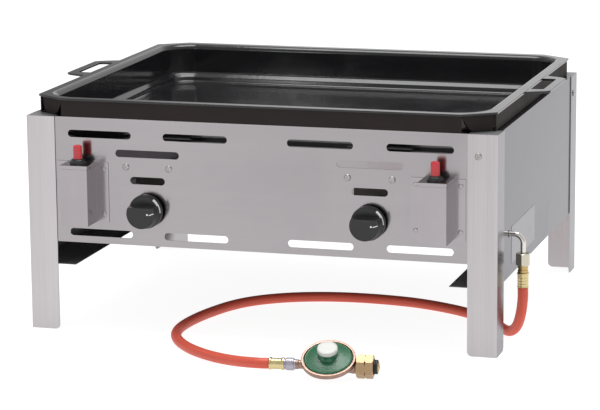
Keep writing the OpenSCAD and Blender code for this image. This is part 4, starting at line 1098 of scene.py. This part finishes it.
# %% The regulator's two axes
REGULATOR_TILT, DISC_X = 26, 77.0
HOSE_END = Vector(HOSE_POINTS_MM[-1])
RUN = HOSE_END - Vector(HOSE_POINTS_MM[-2])
REGULATOR = (Matrix.Translation(HOSE_END * MM)
             @ Matrix.Rotation(math.atan2(RUN.y, RUN.x), 4, "Z")
             @ Matrix.Rotation(math.radians(REGULATOR_TILT), 4, "X"))


def on_gas_axis(x):
    return REGULATOR @ Matrix.Translation((x * MM, 0, 0)) @ Matrix.Rotation(
        math.radians(90), 4, "Y")


ON_DISC = REGULATOR @ Matrix.Translation((DISC_X * MM, 0, 0))

# %% Ferrule and sleeve at the regulator
big_ferrule = lathe([(0, 0), (7.6, 0), (8.2, 0.5), (8.25, 1.6), (7.9, 2.6), (7.2, 3.4),
                     (7.2, 6.4), (6.9, 7), (7.2, 7.6), (7.2, 10.6), (6.9, 11.2), (7.2, 11.8),
                     (7.2, 15.4), (7.9, 16.4), (8.25, 17.4), (8.25, 18.8), (7.8, 19.6),
                     (0, 19.6)], 48)
hand_over(moved(big_ferrule, on_gas_axis(0.2)), "regulator_crimped_ferrule", "stove",
          METAL["yellow_zinc"], "yellow_zinc", "regulator_hose_ferrule")
sleeve = lathe([(0, 0), (6.8, 0), (6.8, 1.4), (7.9, 2.2), (8.2, 2.8), (8.2, 11.6),
                (7.8, 12.2), (6.6, 12.4), (6.6, 14.4), (0, 14.4)], 48)
hand_over(moved(sleeve, on_gas_axis(20)), "regulator_knurled_sleeve", "stove",
          METAL["grey_zinc"], "grey_zinc", "regulator_hose_sleeve")

# %% Housing
dish = lathe([(0, -7.4), (11, -7.4), (12.4, -6.6), (20.5, -4.6), (22.5, -3.6), (29.6, 3.6),
              (31.2, 5.4), (33.6, 6.1), (34.6, 6.6), (35, 7.6), (35, 9.2), (34.6, 9.8),
              (35, 10.4), (35, 11.9), (34.5, 12.8), (33.4, 13), (31.9, 12.7), (31.5, 12.1),
              (31.2, 9.3), (0, 9.3)], 96)
moved(dish, ON_DISC)
outlet = lathe([(0, 0), (6.3, 0), (6.3, 3.2), (5.6, 4), (5.6, 8), (7.4, 14), (9, 30), (0, 30)],
               40)
moved(outlet, on_gas_axis(34.6))
passage = lathe([(0, 0), (9, 0), (9, 28), (9.6, 30), (9.6, 33.6), (9, 34.6), (8.2, 35), (0, 35)],
                40)
moved(passage, on_gas_axis(DISC_X))
housing = join([dish, outlet, passage])
hand_over(housing, "regulator_housing", "stove", METAL["bronze_zinc"], "bronze_zinc",
          "regulator_body")

# %% Cover and cap
ribs = [point for k in range(7)
        for point in ((12.9, 16.9 + k), (12.9, 17.3 + k), (12.5, 17.5 + k), (12.5, 17.7 + k))]
cover = lathe([(0, 9.5), (30.9, 9.5), (30.9, 11.9), (30.4, 12.7), (29.4, 13.3), (28.6, 13.1),
               (28, 13.3), (21, 15.4), (15.2, 16.4), (13.6, 16.6)] + ribs
              + [(12.3, 24.4), (0, 24.4)], 96)
hand_over(moved(cover, ON_DISC), "regulator_green_cover", "stove", COAT["green_cover"],
          "green_cover", "regulator_cover")
cap = lathe([(0, 24.5), (12.2, 24.5), (12.9, 25), (13, 25.7), (13, 28.8), (12.6, 29.6),
             (11.8, 30), (11.2, 29.9), (10.9, 29.6), (0, 29.6)], 64)
hand_over(moved(cap, ON_DISC), "regulator_white_cap", "stove", COAT["white_plastic"],
          "white_plastic", "regulator_cap")
print("housing", len(housing.data.polygons), "faces")

# %% Cylinder nut, seal and nose
NUT_START, NUT_LENGTH = 112.7, 22.0
NUT_FLATS, NOSE_BORE = 27, 7.15
cylinder_nut = hex_nut(NUT_FLATS, NUT_LENGTH, barrel(
    NUT_FLATS, NUT_LENGTH, NOSE_BORE, 1.9, notch=(11.5, 1.6), thread=(11.2, 10.6, 1.8)))
hand_over(moved(cylinder_nut, on_gas_axis(NUT_START)), "cylinder_hexagon_nut", "gas_nut",
          METAL["nut_bronze"], "nut_bronze", "cylinder_nut")
nose = lathe([(0, 0), (6.9, 0), (6.9, 14.6), (9.9, 14.6), (9.9, 17.6), (6.9, 17.6), (6.9, 22.9),
              (6.9, 27.9), (6.3, 28.7), (5.2, 29.3), (2.6, 29.35), (2.6, 26), (0, 26)], 40)
hand_over(moved(nose, on_gas_axis(112.15)), "cylinder_brass_nose", "stove", METAL["brass"],
          "brass", "cylinder_nose")
seal = lathe([(7.05, 0), (8.9, 0), (9.3, 0.4), (9.3, 1.9), (8.9, 2.3), (9.3, 2.7), (9.3, 4.2),
              (8.8, 4.9), (7.05, 5), (7.05, 0)], 48)
hand_over(moved(seal, on_gas_axis(135.05)), "cylinder_black_seal", "stove",
          COAT["black_rubber"], "black_rubber", "cylinder_seal")

# %% [markdown]
# ## The rating plate
# The right side carries a small foil plate. Here it is blank, with a thin frame line pressed
# round it.

# %% Rating plate
PLATE_LOW, PLATE_HIGH = (323.5, -160, 106), (323.78, -8, 156)


def rating_plate():
    plate = box_piece(PLATE_LOW, PLATE_HIGH)
    edit(plate)
    pick("FACE", lambda f: f.normal.x > 0.9)
    bpy.ops.mesh.inset(thickness=2.5 * MM, depth=0)
    bpy.ops.mesh.inset(thickness=0.5 * MM, depth=-0.1 * MM)
    bpy.ops.mesh.inset(thickness=0.5 * MM, depth=0.1 * MM)
    bpy.ops.object.mode_set(mode="OBJECT")
    soften(plate, 0.05 * MM, 1)
    return settle(plate)


hand_over(rating_plate(), "blank_rating_plate", "stove", COAT["plate_foil"],
          "stainless_panel")

# %% [markdown]
# ## What is inside
# The gas rail, valves, burners, brackets and leads keep their CAD shapes. They are seen only
# through the slots and from below, so they take the finishes as they are.

# %% Finishes of the inner nodes
INNER = {
    "rail_steel": ["gas_rail", "left_front_bracket", "right_front_bracket",
                   "left_rear_bracket", "right_rear_bracket"],
    "burner_steel": ["left_burner", "right_burner"],
    "brass": ["left_gas_valve", "right_gas_valve", "left_injector", "right_injector",
              "left_valve_spindle", "right_valve_spindle", "left_push_rod",
              "right_push_rod"],
    "ceramic": ["left_electrode", "right_electrode"],
    "copper": ["left_thermocouple", "right_thermocouple"],
    "igniter_plastic": ["left_igniter_body", "right_igniter_body"],
    "black_rubber": ["left_ignition_wire", "right_ignition_wire"],
}
for finish, nodes in INNER.items():
    for node in nodes:
        kept = frame["nodes"][node]
        kept.data.materials.clear()
        kept.data.materials.append({**COAT, **METAL}[finish])
print("inner nodes:", sum(len(nodes) for nodes in INNER.values()))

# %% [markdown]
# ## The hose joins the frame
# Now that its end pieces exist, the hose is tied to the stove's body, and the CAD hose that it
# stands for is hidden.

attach(hose, "stove")
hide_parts("gas_hose")

# %% [markdown]
# ## Floor and light
# The floor is a white sweep that glows a little, like paper lit from behind, so that only soft
# shadows are left on it. The light is a white room, a large lamp above, and one tall narrow
# lamp at the front left, which draws the bright line in the pan's far corner. The room is
# dimmer in front, where the panels mirror it, and a dark screen stands low at its back left.

# %% Floor
FLOOR_GLOW = 0.92


def make_floor():
    deselect()
    bpy.ops.mesh.primitive_plane_add(size=14, location=(0, 0, 0))
    floor = bpy.context.object
    floor.name = "white_floor"
    material, tree, bsdf, place = start("white_paper", Roughness=0.9,
                                        Emission_Color=(1, 1, 1, 1), Emission_Strength=FLOOR_GLOW)
    mottle = place_group(tree, SMUDGES, Place=place, Size=2.0)
    wire(tree, blend(tree, mottle.outputs["Cloud"], rgb(118, 118, 118), rgb(124, 124, 124)),
         bsdf.inputs["Base Color"])
    floor.data.materials.append(material)


make_floor()

# %% Lights
def white_room(front, back, right, left):
    """A white world whose strength runs from front to back and from left to right."""
    world = bpy.data.worlds.new("white_room")
    world.use_nodes = True
    tree = world.node_tree
    way = add(tree, "ShaderNodeSeparateXYZ",
              Vector=add(tree, "ShaderNodeTexCoord").outputs["Generated"])
    along = between(tree, way.outputs[1], -1, 1, front, back)
    across = between(tree, way.outputs[0], -1, 1, left, right)
    # a dark screen stands low at the back left, and darkens what the left rim mirrors
    screen = between(tree, sums(tree, "ADD", way.outputs[0],
                                sums(tree, "MULTIPLY", way.outputs[1], 0.3)), 0.0, -0.08)
    screen = sums(tree, "MULTIPLY", screen, between(tree, way.outputs[1], 0.0, 0.3))
    screen = sums(tree, "MULTIPLY", screen, between(tree, way.outputs[2], 0.45, 0.3))
    light = sums(tree, "MULTIPLY", sums(tree, "MULTIPLY", along, across),
                 between(tree, screen, 0, 1, 1.0, 0.3))
    wire(tree, (1, 1, 1, 1), tree.nodes["Background"].inputs["Color"])
    wire(tree, light, tree.nodes["Background"].inputs["Strength"])
    bpy.context.scene.world = world


def area_light(name, place, target, size, watts):
    data = bpy.data.lights.new(name, "AREA")
    data.shape = "RECTANGLE"
    data.size, data.size_y = size
    data.energy = watts
    lamp = bpy.data.objects.new(name, data)
    lamp.location = place
    lamp.rotation_euler = (Vector(target) - Vector(place)).to_track_quat("-Z", "Y").to_euler()
    bpy.context.collection.objects.link(lamp)


white_room(front=0.6, back=1.05, right=1.0, left=0.85)
area_light("top_lamp", (0.1, 0.1, 2.6), (0.1, 0.1, 0.2), (2.0, 1.6), 62)
area_light("tall_lamp", (-0.92, -2.4, 0.77), (0, 0.1, 0.3), (0.1, 1.1), 2.2)
bpy.context.scene.view_settings.view_transform = "Standard"
